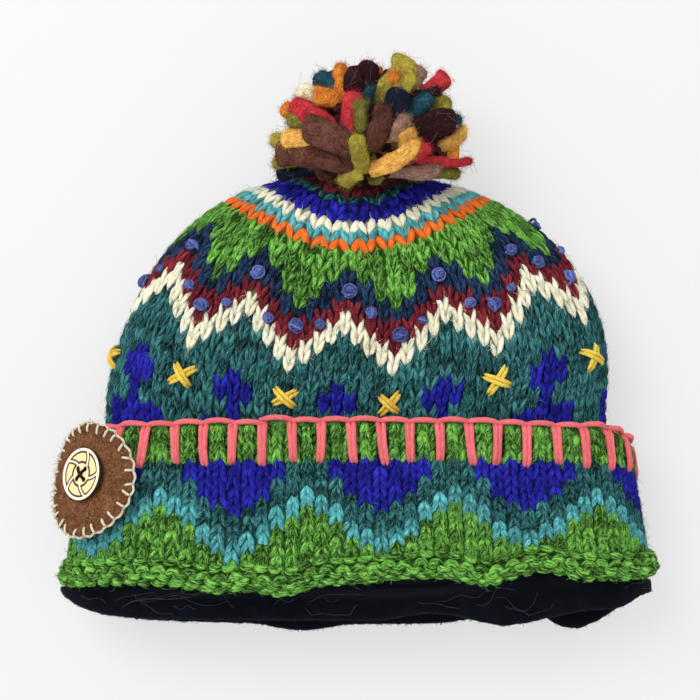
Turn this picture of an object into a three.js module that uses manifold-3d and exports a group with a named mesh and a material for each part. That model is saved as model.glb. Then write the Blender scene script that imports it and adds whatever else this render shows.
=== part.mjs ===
// A knitted bobble hat with a turned-up cuff, lying on its back as it would on a table.
// Millimetres. +X runs across the hat, +Y from the opening to the bobble, +Z up from the surface.
import * as THREE from "three";
import Module from "manifold-3d";

const { lerp, clamp, smoothstep, degToRad } = THREE.MathUtils;

// Walls and clearances
const GAP = 0.4;
const KNIT_WALL = 4.5;
const CUFF_WALL = 5;
const FLEECE_WALL = 2.8;

// The hat along its length
const CROWN_TOP_Y = 75.5;
const SHOULDER_Y = -27;
const CUFF_TOP_Y = -39;
const CUFF_TOP_ARCH = 4;
const CUFF_END_DROOP = 8;
const CUFF_END_POWER = 20;
const HEM_TOP_Y = -101;
const HEM_Y = -110;
const CROWN_HEM_Y = -106;
const LINING_TOP_Y = -46;
const LINING_EDGE_Y = -122;

// The hat across, and up from the surface
const CROWN_HALF = 113;
const CROWN_HEM_HALF = 123;
const CROWN_LEAN = 4;
const CROWN_HIGH = 60;
const CUFF_TOP_HALF = 124;
const CUFF_HEM_HALF = 131.5;
const CUFF_STAND_OFF = 1.8;
const WIDEST_HIGH = 28;
const HEM_ROLL = 3.8;

// How an oval section is rounded: the reach of its ends, and the crowning of its top
const TOP_END = 42;
const BACK_END = 32;
const TOP_CROWN = 4;

// The dome of the crown: larger powers keep its width and height further up
const DOME_WIDTH_POWER = 2.25;
const DOME_TOP_POWER = 2.4;
const DOME_BACK_POWER = 4;
const BACK_PRESS = 1.5;
const TUCK_LENGTH = 28;

// Folds of the two soft edges. at and width lie along X, drop is down towards -Y.
const HEM_FOLDS = [
  { at: 0, width: 150, drop: -4.5, side: "front" },
  { at: -27, width: 28, drop: 4.5, side: "front" },
  { at: -80, width: 40, drop: 1, side: "front" },
  { at: 28, width: 34, drop: -3, side: "front" },
  { at: 60, width: 16, drop: 2, side: "front" },
  { at: 90, width: 22, drop: -2.4, side: "front" },
  { at: -60, width: 40, drop: -2, side: "back" },
  { at: 45, width: 50, drop: 1.5, side: "back" },
];
const LINING_FOLDS = [
  { at: 33, width: 26, drop: -3, side: "front" },
  { at: 66, width: 20, drop: 2.5, side: "front" },
  { at: 104, width: 26, drop: -3, side: "front" },
  { at: 0, width: 300, drop: 6.4, side: "back" },
  { at: -25, width: 26, drop: 3, side: "back" },
  { at: 81, width: 12, drop: -3, side: "back" },
  { at: 102, width: 20, drop: 4, side: "back" },
];
const LINING_CORNER_RISE = 10;
const LINING_CORNER_POWER = 10;
const LINING_FLARE = 15;
const LINING_FLARE_FROM_Y = CROWN_HEM_Y - 1;
const LINING_FLARE_LENGTH = 8;
const LINING_DROOP = 4.5;

// Felt patch, button and the thread that holds them
const PATCH_Y = -61.5;
const PATCH_TURN = 50;
const PATCH_TILT = 5;
const PATCH_RADIUS = 24.8;
const PATCH_THICK = 2.4;
const PATCH_BEND_RADIUS = 60;
const PATCH_LIFT = 1.6;
const BUTTON_SHIFT = { x: 1, y: 2 };
const BUTTON_RADIUS = 11.5;
const BUTTON_THICK = 3;
const BUTTON_RIM = 1.6;
const BUTTON_DISH = 0.5;
const BUTTON_HOLE_RADIUS = 1.35;
const BUTTON_HOLE_PITCH = 4.6;
const THREAD_RADIUS = 0.9;

// Bobble: a ball of felted strips tied to the crown's top, shallower on the side of the crown
const BOBBLE = { x: 6, y: 87, z: 42 };
const BOBBLE_REACH = { x: 46, up: 41, down: 24, z: 42 };
const BOBBLE_CORE_SHARE = 0.78;
const STRIP_THICK = 6;
const UNDER_STRIPS = 16;
const UNDER_WIDTH = 14;
const FLOOR_CLEAR = 0.6;

// Strips on the bobble's upper side, from root to tip in the XY plane about its centre.
// depth is how far out from the centre the root lies, as a share of the ball.
const STRIPS = [
  { rootX: 13.5, rootY: 26, tipX: 14.4, tipY: 40.5, width: 10, depth: 0.8 },
  { rootX: 6, rootY: 18, tipX: 17, tipY: 33, width: 11.5, depth: 0.85 },
  { rootX: 0, rootY: 20, tipX: 0.5, tipY: 36, width: 9, depth: 0.8 },
  { rootX: -16, rootY: 18, tipX: -13, tipY: 36, width: 7.5, depth: 0.85 },
  { rootX: -15, rootY: 24, tipX: -24, tipY: 30.5, width: 7, depth: 0.8 },
  { rootX: -22, rootY: 24, tipX: -34, tipY: 22.5, width: 8, depth: 0.8 },
  { rootX: -16, rootY: 21, tipX: -26, tipY: 19, width: 8, depth: 0.9 },
  { rootX: -22, rootY: 7, tipX: -36, tipY: 18, width: 9, depth: 0.9 },
  { rootX: -32, rootY: 12, tipX: -40, tipY: 16.5, width: 7, depth: 0.8 },
  { rootX: -13.5, rootY: 3, tipX: -7, tipY: 20, width: 9, depth: 0.95 },
  { rootX: -5, rootY: 18, tipX: -7.5, tipY: 31, width: 8, depth: 0.85 },
  { rootX: -5.5, rootY: 4, tipX: -4, tipY: 16.5, width: 7, depth: 0.95 },
  { rootX: 1, rootY: -6, tipX: 6, tipY: 17, width: 10, depth: 0.93 },
  { rootX: 9, rootY: -3, tipX: 14, tipY: 24, width: 11, depth: 0.9 },
  { rootX: 18, rootY: 10, tipX: 28, tipY: 21.5, width: 9, depth: 0.85 },
  { rootX: 22, rootY: 23, tipX: 24, tipY: 35, width: 7.5, depth: 0.8 },
  { rootX: 25, rootY: 24, tipX: 35.5, tipY: 32, width: 8, depth: 0.8 },
  { rootX: 33, rootY: 9, tipX: 35, tipY: 22.5, width: 8.5, depth: 0.85 },
  { rootX: 20, rootY: 2, tipX: 39.5, tipY: 10, width: 13, depth: 0.92 },
  { rootX: 40, rootY: -5, tipX: 44.5, tipY: 8, width: 7, depth: 0.85 },
  { rootX: 0, rootY: -14, tipX: 23, tipY: 5.5, width: 11, depth: 0.99 },
  { rootX: -7, rootY: -15, tipX: -5.5, tipY: 4, width: 9.5, depth: 0.99 },
  { rootX: -9, rootY: -5, tipX: -32, tipY: 6, width: 12, depth: 0.95 },
  { rootX: -11, rootY: -14, tipX: -44, tipY: -4, width: 12, depth: 0.93 },
  { rootX: -30, rootY: 6, tipX: -42, tipY: -1, width: 8, depth: 0.85 },
  { rootX: -38, rootY: -4, tipX: -46, tipY: 1.5, width: 7, depth: 0.8 },
  { rootX: -36, rootY: -9, tipX: -46, tipY: -9, width: 7, depth: 0.8 },
  { rootX: 27, rootY: -8, tipX: 47, tipY: -4.5, width: 6, depth: 0.92 },
  { rootX: 19, rootY: -9, tipX: 31, tipY: -3, width: 7.5, depth: 0.9 },
  { rootX: 11, rootY: -17, tipX: 34, tipY: -11, width: 8, depth: 0.9 },
  { rootX: 27, rootY: -14, tipX: 43, tipY: -11.5, width: 7, depth: 0.85 },
];

// Mesh steps
const AROUND = 60;
const DOME_RINGS = 11;
const STRIP_SIDES = 5;
const ROUND_STEPS = 36;

const wasm = await Module();
wasm.setup();

// One closed surface through successive rings of points. A ring of one point is a pole,
// and joined also runs the last ring back to the first.
function loft(rings, joined = false) {
  const starts = [];
  let count = 0;
  for (const ring of rings) {
    starts.push(count);
    count += ring.length;
  }
  const triangles = [];
  const spans = joined ? rings.length : rings.length - 1;
  for (let i = 0; i < spans; i++) {
    const j = (i + 1) % rings.length;
    const steps = Math.max(rings[i].length, rings[j].length);
    const near = (k) => starts[i] + (k % rings[i].length);
    const far = (k) => starts[j] + (k % rings[j].length);
    for (let k = 0; k < steps; k++) {
      if (rings[i].length > 1) triangles.push(near(k), near(k + 1), far(k + 1));
      if (rings[j].length > 1) triangles.push(near(k), far(k + 1), far(k));
    }
  }
  const geometry = new THREE.BufferGeometry().setFromPoints(rings.flat());
  geometry.setIndex(triangles);
  return geometry;
}

function toSolid(geometry) {
  return new wasm.Manifold(
    new wasm.Mesh({
      numProp: 3,
      vertProperties: new Float32Array(geometry.attributes.position.array),
      triVerts: new Uint32Array(geometry.index.array),
    }),
  );
}

function toGeometry(solid) {
  const made = solid.getMesh();
  return new THREE.BufferGeometry()
    .setAttribute("position", new THREE.BufferAttribute(made.vertProperties, 3))
    .setIndex(new THREE.BufferAttribute(made.triVerts, 1));
}

// The outermost surface of a solid alone, so that pockets closed in between strips are filled.
function outerBody(solid) {
  const bodies = solid.decompose();
  bodies.sort((a, b) => b.volume() - a.volume());
  return bodies[0];
}

// The ring of points round an oval section at y, evenly spaced from the top centre towards +X.
function ovalRing({ centre, half, low, mid, high, topEnd, backEnd, crown }, y) {
  const flat = half - topEnd;
  const shoulder = high - crown;
  const quarter = Math.PI / 2;
  const path = new THREE.Path();
  path.moveTo(centre, high);
  path.quadraticCurveTo(centre + flat / 2, high, centre + flat, shoulder);
  path.absellipse(centre + flat, mid, topEnd, shoulder - mid, quarter, 0, true);
  path.absellipse(centre + half - backEnd, mid, backEnd, mid - low, 0, -quarter, true);
  path.lineTo(centre - half + backEnd, low);
  path.absellipse(centre - half + backEnd, mid, backEnd, mid - low, 3 * quarter, 2 * quarter, true);
  path.absellipse(centre - flat, mid, topEnd, shoulder - mid, 2 * quarter, quarter, true);
  path.quadraticCurveTo(centre - flat / 2, high, centre, high);
  const points = path.getSpacedPoints(AROUND).slice(0, AROUND);
  return points.map((p) => new THREE.Vector3(p.x, y, p.y));
}

// How far the dome has closed at share t of its length, from 1 at its shoulder to 0 at its top.
function dome(t, power, root) {
  return (1 - t ** power) ** (1 / root);
}

// The knitted crown's oval section at y, taken in all round by inset.
function crownSection(y, inset) {
  const top = CROWN_TOP_Y - inset;
  const t = clamp((y - SHOULDER_Y) / (top - SHOULDER_Y), 0, 1);
  const free = smoothstep(y, CUFF_TOP_Y, CUFF_TOP_Y + TUCK_LENGTH);
  const flare = clamp((CUFF_TOP_Y - y) / (CUFF_TOP_Y - CROWN_HEM_Y), 0, 1);
  const half = (lerp(CROWN_HALF, CROWN_HEM_HALF, flare) - inset) * dome(t, 2, DOME_WIDTH_POWER);
  const under = CUFF_WALL + GAP;
  const flatLow = lerp(under, 0, free) + inset;
  const flatHigh = lerp(CROWN_HIGH - under / 2, CROWN_HIGH, free) - inset;
  const mid = WIDEST_HIGH;
  const lift = mid - (mid - flatLow + BACK_PRESS) * dome(t, DOME_BACK_POWER, 2);
  const rounding = t ** 2;
  return {
    centre: CROWN_LEAN * Math.sin(Math.PI * t),
    half,
    low: Math.max(flatLow, lift),
    mid,
    high: mid + (flatHigh - mid) * dome(t, DOME_TOP_POWER, 2),
    topEnd: lerp(TOP_END - inset, half, rounding),
    backEnd: lerp(BACK_END - inset, half, rounding),
    crown: lerp(TOP_CROWN, 0, rounding),
  };
}

// Rings of the crown's surface from its hem edge up to its top, ending in a pole.
function crownRings(inset) {
  const top = CROWN_TOP_Y - inset;
  const levels = [CROWN_HEM_Y, lerp(CROWN_HEM_Y, CUFF_TOP_Y, 0.5), CUFF_TOP_Y];
  for (let i = 1; i < DOME_RINGS; i++) {
    const rise = Math.sin(((i / DOME_RINGS) * Math.PI) / 2);
    levels.push(lerp(SHOULDER_Y, top, rise));
  }
  const rings = levels.map((y) => ovalRing(crownSection(y, inset), y));
  return [...rings, [new THREE.Vector3(0, top, WIDEST_HIGH)]];
}

function crown() {
  return loft([...crownRings(KNIT_WALL).reverse(), ...crownRings(0)]);
}

// The sum of an edge's folds at a point, each a smooth bump along X on one side of the hat.
function foldDrop(folds, point, mid) {
  const side = point.z > mid ? "front" : "back";
  const reach = smoothstep(Math.abs(point.z - mid), 0, mid / 2);
  let drop = 0;
  for (const fold of folds) {
    if (fold.side !== side) continue;
    const away = Math.min(1, Math.abs(point.x - fold.at) / fold.width);
    drop += fold.drop * reach * (0.5 + 0.5 * Math.cos(Math.PI * away));
  }
  return drop;
}

// The cuff's oval section at y, grown all round by out. Its back is pressed flat on the surface.
function cuffSection(y, out) {
  const up = clamp((y - HEM_TOP_Y) / (CUFF_TOP_Y - HEM_TOP_Y), 0, 1);
  const over = CROWN_HIGH + (CUFF_WALL + GAP) / 2;
  return {
    centre: lerp(1, 0, up),
    half: lerp(CUFF_HEM_HALF, CUFF_TOP_HALF, up) + out,
    low: Math.max(0, -out),
    mid: WIDEST_HIGH,
    high: over + CUFF_STAND_OFF * up + out,
    topEnd: TOP_END + out,
    backEnd: BACK_END + out,
    crown: TOP_CROWN,
  };
}

// Profile of the cuff's wall, once round: up the outside from the rolled hem, and down the inside.
const CUFF_PROFILE = [
  { y: HEM_Y, out: -0.5 },
  { y: HEM_Y + 2, out: HEM_ROLL - 1 },
  { y: HEM_Y + 5, out: HEM_ROLL },
  { y: HEM_TOP_Y, out: HEM_ROLL - 2.6 },
  { y: HEM_TOP_Y + 4, out: 0 },
  { y: lerp(HEM_TOP_Y, CUFF_TOP_Y, 0.55), out: 0 },
  { y: CUFF_TOP_Y - 4, out: 0.4 },
  { y: CUFF_TOP_Y, out: -1.4 },
  { y: CUFF_TOP_Y, out: 1 - CUFF_WALL },
  { y: lerp(HEM_TOP_Y, CUFF_TOP_Y, 0.5), out: -CUFF_WALL },
  { y: HEM_Y + 2.5, out: -CUFF_WALL },
  { y: HEM_Y + 0.5, out: -3.4 },
];

function cuff() {
  const rings = CUFF_PROFILE.map(({ y, out }) => {
    const section = cuffSection(y, out);
    const ring = ovalRing(section, y);
    const up = clamp((y - HEM_TOP_Y) / (CUFF_TOP_Y - HEM_TOP_Y), 0, 1);
    for (const p of ring) {
      const arch = CUFF_TOP_ARCH * (1 - (p.x / CUFF_TOP_HALF) ** 2);
      const droop = CUFF_END_DROOP * Math.abs((p.x - section.centre) / section.half) ** CUFF_END_POWER;
      p.y += (arch - droop) * up - foldDrop(HEM_FOLDS, p, WIDEST_HIGH) * (1 - up) ** 2;
    }
    return ring;
  });
  return loft(rings, true);
}

// The fleece band: against the crown's inside, then flaring out below the hem to a wavy edge.
function liningSection(y, inset) {
  const within = crownSection(Math.max(y, CROWN_HEM_Y), KNIT_WALL + GAP + inset);
  const out = smoothstep(LINING_FLARE_FROM_Y - y, 0, LINING_FLARE_LENGTH);
  within.half += LINING_FLARE * out;
  within.low = Math.max(within.low - LINING_DROOP * out, inset);
  within.high -= LINING_DROOP * out;
  return within;
}

const LINING_LEVELS = [LINING_EDGE_Y, -115.5, -111, LINING_FLARE_FROM_Y, -75, LINING_TOP_Y];

function lining() {
  const surface = (inset) =>
    LINING_LEVELS.map((y) => {
      const section = liningSection(y, inset);
      const ring = ovalRing(section, y);
      const out = clamp((HEM_Y - y) / (HEM_Y - LINING_EDGE_Y), 0, 1);
      for (const p of ring) {
        const corner = LINING_CORNER_RISE * Math.abs(p.x / section.half) ** LINING_CORNER_POWER;
        p.y += out * (corner - foldDrop(LINING_FOLDS, p, WIDEST_HIGH));
      }
      return ring;
    });
  return loft([...surface(0), ...surface(FLEECE_WALL).reverse()], true);
}

// The point of the bobble's ball above or below a place in its XY plane, at a share of its reach.
function onBall(x, y, share, upward) {
  const reachY = y > 0 ? BOBBLE_REACH.up : BOBBLE_REACH.down;
  const away = Math.min(0.98, (x / BOBBLE_REACH.x) ** 2 + (y / reachY) ** 2);
  const z = BOBBLE_REACH.z * Math.sqrt(1 - away) * upward;
  const point = new THREE.Vector3(x, y, z).multiplyScalar(share);
  return point.add(new THREE.Vector3(BOBBLE.x, BOBBLE.y, BOBBLE.z));
}

// A felted strip with a rounded tip, bowed outwards from the bobble's middle.
function strip(root, tip, width) {
  const middle = new THREE.Vector3(BOBBLE.x, BOBBLE.y, BOBBLE.z);
  const bow = root.clone().lerp(tip, 0.5).sub(middle);
  bow.setLength(Math.max(bow.length(), tip.distanceTo(middle) * 0.97));
  const spine = new THREE.QuadraticBezierCurve3(root, bow.add(middle), tip);
  const stations = [
    { along: 0, size: 0.9 },
    { along: 0.5, size: 1 },
    { along: 0.86, size: 0.95 },
    { along: 1, size: 0.55 },
  ];
  const rings = stations.map(({ along, size }) => {
    const at = spine.getPoint(along);
    const forward = spine.getTangent(along);
    const outward = at.clone().sub(middle).normalize();
    const side = new THREE.Vector3().crossVectors(forward, outward).normalize();
    const face = new THREE.Vector3().crossVectors(forward, side);
    const ring = [];
    for (let k = 0; k < STRIP_SIDES; k++) {
      const turn = (2 * Math.PI * (k + 0.5)) / STRIP_SIDES;
      const point = at.clone();
      point.addScaledVector(side, (Math.cos(turn) * width * size) / 2);
      point.addScaledVector(face, (Math.sin(turn) * STRIP_THICK * size) / 2);
      point.z = Math.max(point.z, FLOOR_CLEAR);
      ring.push(point);
    }
    return ring;
  });
  return loft([[root], ...rings, [tip.setZ(Math.max(tip.z, 2 * FLOOR_CLEAR))]]);
}

// The tied middle of the bobble, a ball that the strips stand out from.
function bobbleCore() {
  const turns = 14;
  const tilts = 8;
  const rings = [];
  for (let i = 1; i < tilts; i++) {
    const tilt = (Math.PI * i) / tilts;
    const ring = [];
    for (let k = 0; k < turns; k++) {
      const turn = (2 * Math.PI * k) / turns;
      const reachY = Math.sin(turn) > 0 ? BOBBLE_REACH.up : BOBBLE_REACH.down;
      const x = BOBBLE_REACH.x * Math.sin(tilt) * Math.cos(turn);
      const y = reachY * Math.sin(tilt) * Math.sin(turn);
      ring.push(onBall(x, y, BOBBLE_CORE_SHARE, i < tilts / 2 ? -1 : 1));
    }
    rings.push(ring);
  }
  const bottom = onBall(0, 0, BOBBLE_CORE_SHARE, -1);
  return loft([[bottom], ...rings, [onBall(0, 0, BOBBLE_CORE_SHARE, 1)]]);
}

function bobble() {
  let ball = toSolid(bobbleCore());
  for (const { rootX, rootY, tipX, tipY, width, depth } of STRIPS) {
    const root = onBall(rootX, rootY, depth * BOBBLE_CORE_SHARE, 1);
    ball = ball.add(toSolid(strip(root, onBall(tipX, tipY, 1, 1), width)));
  }
  const golden = Math.PI * (3 - Math.sqrt(5));
  for (let i = 0; i < UNDER_STRIPS; i++) {
    const across = Math.sqrt((i + 0.5) / UNDER_STRIPS);
    const reachY = Math.sin(golden * i) > 0 ? BOBBLE_REACH.up : BOBBLE_REACH.down;
    const x = BOBBLE_REACH.x * across * Math.cos(golden * i);
    const y = reachY * across * Math.sin(golden * i);
    const root = onBall(x, y, BOBBLE_CORE_SHARE / 2, -1);
    ball = ball.add(toSolid(strip(root, onBall(x, y, 1, -1), UNDER_WIDTH)));
  }
  const seat = toSolid(loft([[new THREE.Vector3(0, CROWN_HEM_Y, WIDEST_HIGH)], ...crownRings(-GAP)]));
  return toGeometry(outerBody(ball.subtract(seat)));
}

// A round felt disc, bent about its local Y axis so that it hugs the cuff.
function feltPatch() {
  const disc = (radius, z) => {
    const ring = [];
    for (let k = 0; k < ROUND_STEPS; k++) {
      const turn = (2 * Math.PI * k) / ROUND_STEPS;
      const along = radius * Math.cos(turn);
      const angle = along / PATCH_BEND_RADIUS;
      const reach = PATCH_BEND_RADIUS + z;
      const x = reach * Math.sin(angle);
      ring.push(new THREE.Vector3(x, radius * Math.sin(turn), reach * Math.cos(angle) - PATCH_BEND_RADIUS));
    }
    return ring;
  };
  const radii = [PATCH_RADIUS / 3, (2 * PATCH_RADIUS) / 3, PATCH_RADIUS];
  const under = radii.map((radius) => disc(radius, 0));
  const upper = radii.map((radius) => disc(radius, PATCH_THICK)).reverse();
  const bottom = [new THREE.Vector3(0, 0, 0)];
  return loft([bottom, ...under, ...upper, [new THREE.Vector3(0, 0, PATCH_THICK)]]);
}

// Places of the four holes about the button's centre.
function buttonHoles() {
  const places = [];
  for (let k = 0; k < 4; k++) {
    const turn = Math.PI / 4 + (k * Math.PI) / 2;
    const reach = BUTTON_HOLE_PITCH / Math.SQRT2;
    places.push(new THREE.Vector2(reach * Math.cos(turn), reach * Math.sin(turn)));
  }
  return places;
}

function cylinder(radius, low, high, x, y, steps) {
  const ring = (z) => {
    const points = [];
    for (let k = 0; k < steps; k++) {
      const turn = (2 * Math.PI * k) / steps;
      points.push(new THREE.Vector3(x + radius * Math.cos(turn), y + radius * Math.sin(turn), z));
    }
    return points;
  };
  return loft([[new THREE.Vector3(x, y, low)], ring(low), ring(high), [new THREE.Vector3(x, y, high)]]);
}

// A dished wooden button with a raised rim and four holes.
function button() {
  const profile = [
    { radius: BUTTON_RADIUS - 1, z: 0 },
    { radius: BUTTON_RADIUS, z: 0.8 },
    { radius: BUTTON_RADIUS, z: BUTTON_THICK - 0.6 },
    { radius: BUTTON_RADIUS - 0.6, z: BUTTON_THICK },
    { radius: BUTTON_RADIUS - BUTTON_RIM, z: BUTTON_THICK },
    { radius: BUTTON_RADIUS - BUTTON_RIM - 0.5, z: BUTTON_THICK - BUTTON_DISH },
  ];
  const rings = profile.map(({ radius, z }) => {
    const ring = [];
    for (let k = 0; k < ROUND_STEPS; k++) {
      const turn = (2 * Math.PI * k) / ROUND_STEPS;
      ring.push(new THREE.Vector3(radius * Math.cos(turn), radius * Math.sin(turn), z));
    }
    return ring;
  });
  const back = [new THREE.Vector3(0, 0, 0)];
  const face = [new THREE.Vector3(0, 0, BUTTON_THICK - BUTTON_DISH)];
  let body = toSolid(loft([back, ...rings, face]));
  for (const hole of buttonHoles()) {
    const bore = cylinder(BUTTON_HOLE_RADIUS, -1, BUTTON_THICK + 1, hole.x, hole.y, 10);
    body = body.subtract(toSolid(bore));
  }
  return toGeometry(body);
}

// Two crossed strands over the button's face, with legs down its four holes.
function buttonThread() {
  const face = BUTTON_THICK - BUTTON_DISH;
  const crest = face + 2 * THREAD_RADIUS;
  const holes = buttonHoles();
  let thread = null;
  for (const hole of holes) {
    const leg = toSolid(cylinder(THREAD_RADIUS, 0, crest, hole.x, hole.y, 8));
    thread = thread ? thread.add(leg) : leg;
  }
  for (const [from, to] of [[0, 2], [1, 3]]) {
    const start = new THREE.Vector3(holes[from].x, holes[from].y, face + THREAD_RADIUS + GAP);
    const end = new THREE.Vector3(holes[to].x, holes[to].y, face + THREAD_RADIUS + GAP);
    const over = start.clone().lerp(end, 0.5).setZ(face + THREAD_RADIUS * 2);
    const strand = new THREE.ExtrudeGeometry(
      new THREE.Shape(new THREE.EllipseCurve(0, 0, THREAD_RADIUS, THREAD_RADIUS).getPoints(8).slice(0, 8)),
      { steps: 6, extrudePath: new THREE.QuadraticBezierCurve3(start, over, end) },
    );
    thread = thread.add(toSolid(weld(strand)));
  }
  return toGeometry(thread);
}

// The same surface with every shared corner held once.
function weld(geometry) {
  const places = new Map();
  const points = [];
  const triangles = [];
  const position = geometry.attributes.position;
  for (let i = 0; i < position.count; i++) {
    const point = new THREE.Vector3().fromBufferAttribute(position, i);
    const key = point.toArray().map((v) => v.toFixed(3)).join();
    if (!places.has(key)) {
      places.set(key, points.length);
      points.push(point);
    }
    triangles.push(places.get(key));
  }
  return new THREE.BufferGeometry().setFromPoints(points).setIndex(triangles);
}

function piece(name, geometry, color, roughness) {
  geometry.computeVertexNormals();
  const material = new THREE.MeshStandardMaterial({ color, roughness, metalness: 0 });
  const mesh = new THREE.Mesh(geometry, material);
  mesh.name = name;
  return mesh;
}

// The patch's seat on the cuff's rounded end, where the cloth faces PATCH_TURN above the side.
function patchGroup() {
  const section = cuffSection(PATCH_Y, 0);
  const reach = section.topEnd;
  const rise = section.high - section.crown - section.mid;
  const turn = degToRad(PATCH_TURN);
  const place = Math.atan2(rise * Math.sin(turn), reach * Math.cos(turn));
  const group = new THREE.Group();
  const x = section.centre - section.half + reach * (1 - Math.cos(place));
  const z = section.mid + rise * Math.sin(place);
  const tilt = degToRad(PATCH_TILT);
  const outward = new THREE.Vector3(
    -Math.cos(turn) * Math.cos(tilt),
    Math.sin(tilt),
    Math.sin(turn) * Math.cos(tilt),
  );
  const across = new THREE.Vector3().crossVectors(new THREE.Vector3(0, 1, 0), outward).normalize();
  const along = new THREE.Vector3().crossVectors(outward, across);
  group.quaternion.setFromRotationMatrix(new THREE.Matrix4().makeBasis(across, along, outward));
  group.position.set(x, PATCH_Y, z).addScaledVector(outward, PATCH_LIFT);
  group.add(piece("felt_patch", feltPatch(), 0x7a4526, 0.95));

  const fastening = new THREE.Group();
  fastening.position.set(BUTTON_SHIFT.x, BUTTON_SHIFT.y, PATCH_THICK + GAP);
  fastening.add(piece("button", button(), 0xf1e6c4, 0.4));
  fastening.add(piece("button_thread", buttonThread(), 0x2a1a14, 0.9));
  group.add(fastening);
  return group;
}

const hat = new THREE.Group();
hat.add(piece("crown", crown(), 0x23605c, 0.95));
hat.add(piece("cuff", cuff(), 0x5c9a2c, 0.95));
hat.add(piece("lining", lining(), 0x0d0e16, 1));
hat.add(piece("bobble", bobble(), 0x7d5530, 1));
hat.add(patchGroup());

export default hat;
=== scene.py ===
"""A knitted bobble hat lying on its back, dressed stitch by stitch over its CAD frame.

Lengths in this script are millimetres, and make_piece turns them into Blender's metres.
+X runs across the hat, +Y from the opening to the bobble, +Z up from the surface.
"""

import math
from collections import namedtuple

import bpy
import numpy as np
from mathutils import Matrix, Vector, kdtree, noise


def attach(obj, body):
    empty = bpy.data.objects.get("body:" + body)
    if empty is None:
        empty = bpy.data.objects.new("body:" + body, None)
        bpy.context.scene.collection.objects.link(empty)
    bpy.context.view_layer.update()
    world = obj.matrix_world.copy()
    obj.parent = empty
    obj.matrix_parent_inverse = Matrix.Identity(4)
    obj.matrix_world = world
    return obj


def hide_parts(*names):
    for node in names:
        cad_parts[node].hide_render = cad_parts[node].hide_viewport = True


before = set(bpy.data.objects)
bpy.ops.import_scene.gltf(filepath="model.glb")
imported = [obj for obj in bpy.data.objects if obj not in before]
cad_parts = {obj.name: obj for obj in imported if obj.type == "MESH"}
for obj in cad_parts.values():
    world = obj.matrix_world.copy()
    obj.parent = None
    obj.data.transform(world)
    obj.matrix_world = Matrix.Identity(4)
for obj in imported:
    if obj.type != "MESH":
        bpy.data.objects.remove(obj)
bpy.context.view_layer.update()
rng = np.random.default_rng(11)
MM = 0.001
# No piece reaches lower than this
RESTING_Z = 0.05


def table(names, *rows):
    """Rows of values by the names of their columns."""
    return [dict(zip(names.split(), row)) for row in rows]


def columns(rows):
    """A table's columns as arrays."""
    return [np.array([row[name] for row in rows]) for name in rows[0]]


# Sizes of the hat at rest
GAP = 0.4
KNIT_WALL = 4.5
CUFF_WALL = 5
FLEECE_WALL = 2.8
CROWN_TOP_Y = 75.5
SHOULDER_Y = -27
CUFF_TOP_Y = -39
CUFF_TOP_ARCH = 4
CUFF_END_DROOP = 8
CUFF_END_POWER = 20
HEM_TOP_Y = -101
HEM_Y = -110
CROWN_HEM_Y = -106
LINING_TOP_Y = -46
LINING_EDGE_Y = -122
HEM_BAND_TOP_Y = -86
CROWN_HALF = 113
CROWN_HEM_HALF = 123
CROWN_LEAN = 4
CROWN_HIGH = 60
CUFF_TOP_HALF = 124
CUFF_HEM_HALF = 131.5
CUFF_STAND_OFF = 1.8
WIDEST_HIGH = 28
HEM_ROLL = 3.8
HEM_FOLD_REACH = 9.2
TOP_END = 42
BACK_END = 32
TOP_CROWN = 4
DOME_WIDTH_POWER = 2.45
DOME_TOP_POWER = 2.4
DOME_BACK_POWER = 4
BACK_PRESS = 1.5
TUCK_LENGTH = 28
# Depths of the crown's backing below its outside, where the cuff covers it and where it is bare
COVERED_DEPTH = 0.2
STITCH_DEPTH = 2.4
# Distances below the cuff's top: covered depth from the first one down, bare depth from the second one up
COVERED_FROM = 26
BARE_FROM = 14
BACKING_TURNS = {"crown": 132, "cuff": 180}

# The hem lies higher towards its right end
HEM_RISE = {"from_x": 20, "to_x": 90, "height": 4.8}

# Folds of the soft edges: at and width lie along X, drop is down towards -Y, side 1 is the front
FOLD_COLUMNS = "at width drop side"
HEM_FOLDS = table(
    FOLD_COLUMNS,
    (0, 150, -4.5, 1),
    (-32, 20, 4.6, 1),
    (-58, 22, 2.4, 1),
    (-102, 44, -2.6, 1),
    (28, 34, -3, 1),
    (56, 14, 2, 1),
    (81, 18, -3, 1),
    (-60, 40, -2, -1),
    (45, 50, 1.5, -1),
)
LINING_FOLDS = table(
    FOLD_COLUMNS,
    (33, 26, -3, 1),
    (66, 20, 2.5, 1),
    (104, 26, -3, 1),
    (134, 20, -6, 1),
    (0, 300, 7.7, -1),
    (-25, 26, 3, -1),
    (68, 36, -3, -1),
    (81, 12, -3.5, -1),
    (102, 20, 4.6, -1),
    (134, 20, -6, -1),
)
LINING_CORNER_RISE = 10
LINING_CORNER_POWER = 10
LINING_FLARE = 15
LINING_FLARE_FROM_Y = CROWN_HEM_Y - 1
LINING_FLARE_LENGTH = 8
LINING_DROOP = 4.5
# The lining's rolled edge: how far through the fleece, and how far past its edge
LINING_LIP = table("through past", (0.22, 0.9), (0.5, 1.25), (0.78, 0.9))
# From this ring on the lining shows below the hem, over this height
FIRST_BARE_RING = 8
LINT_ZONE = 12
LINT_HAIRS = 60
LINT_STEPS = 24
LINT_RADIUS = 0.055

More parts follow.
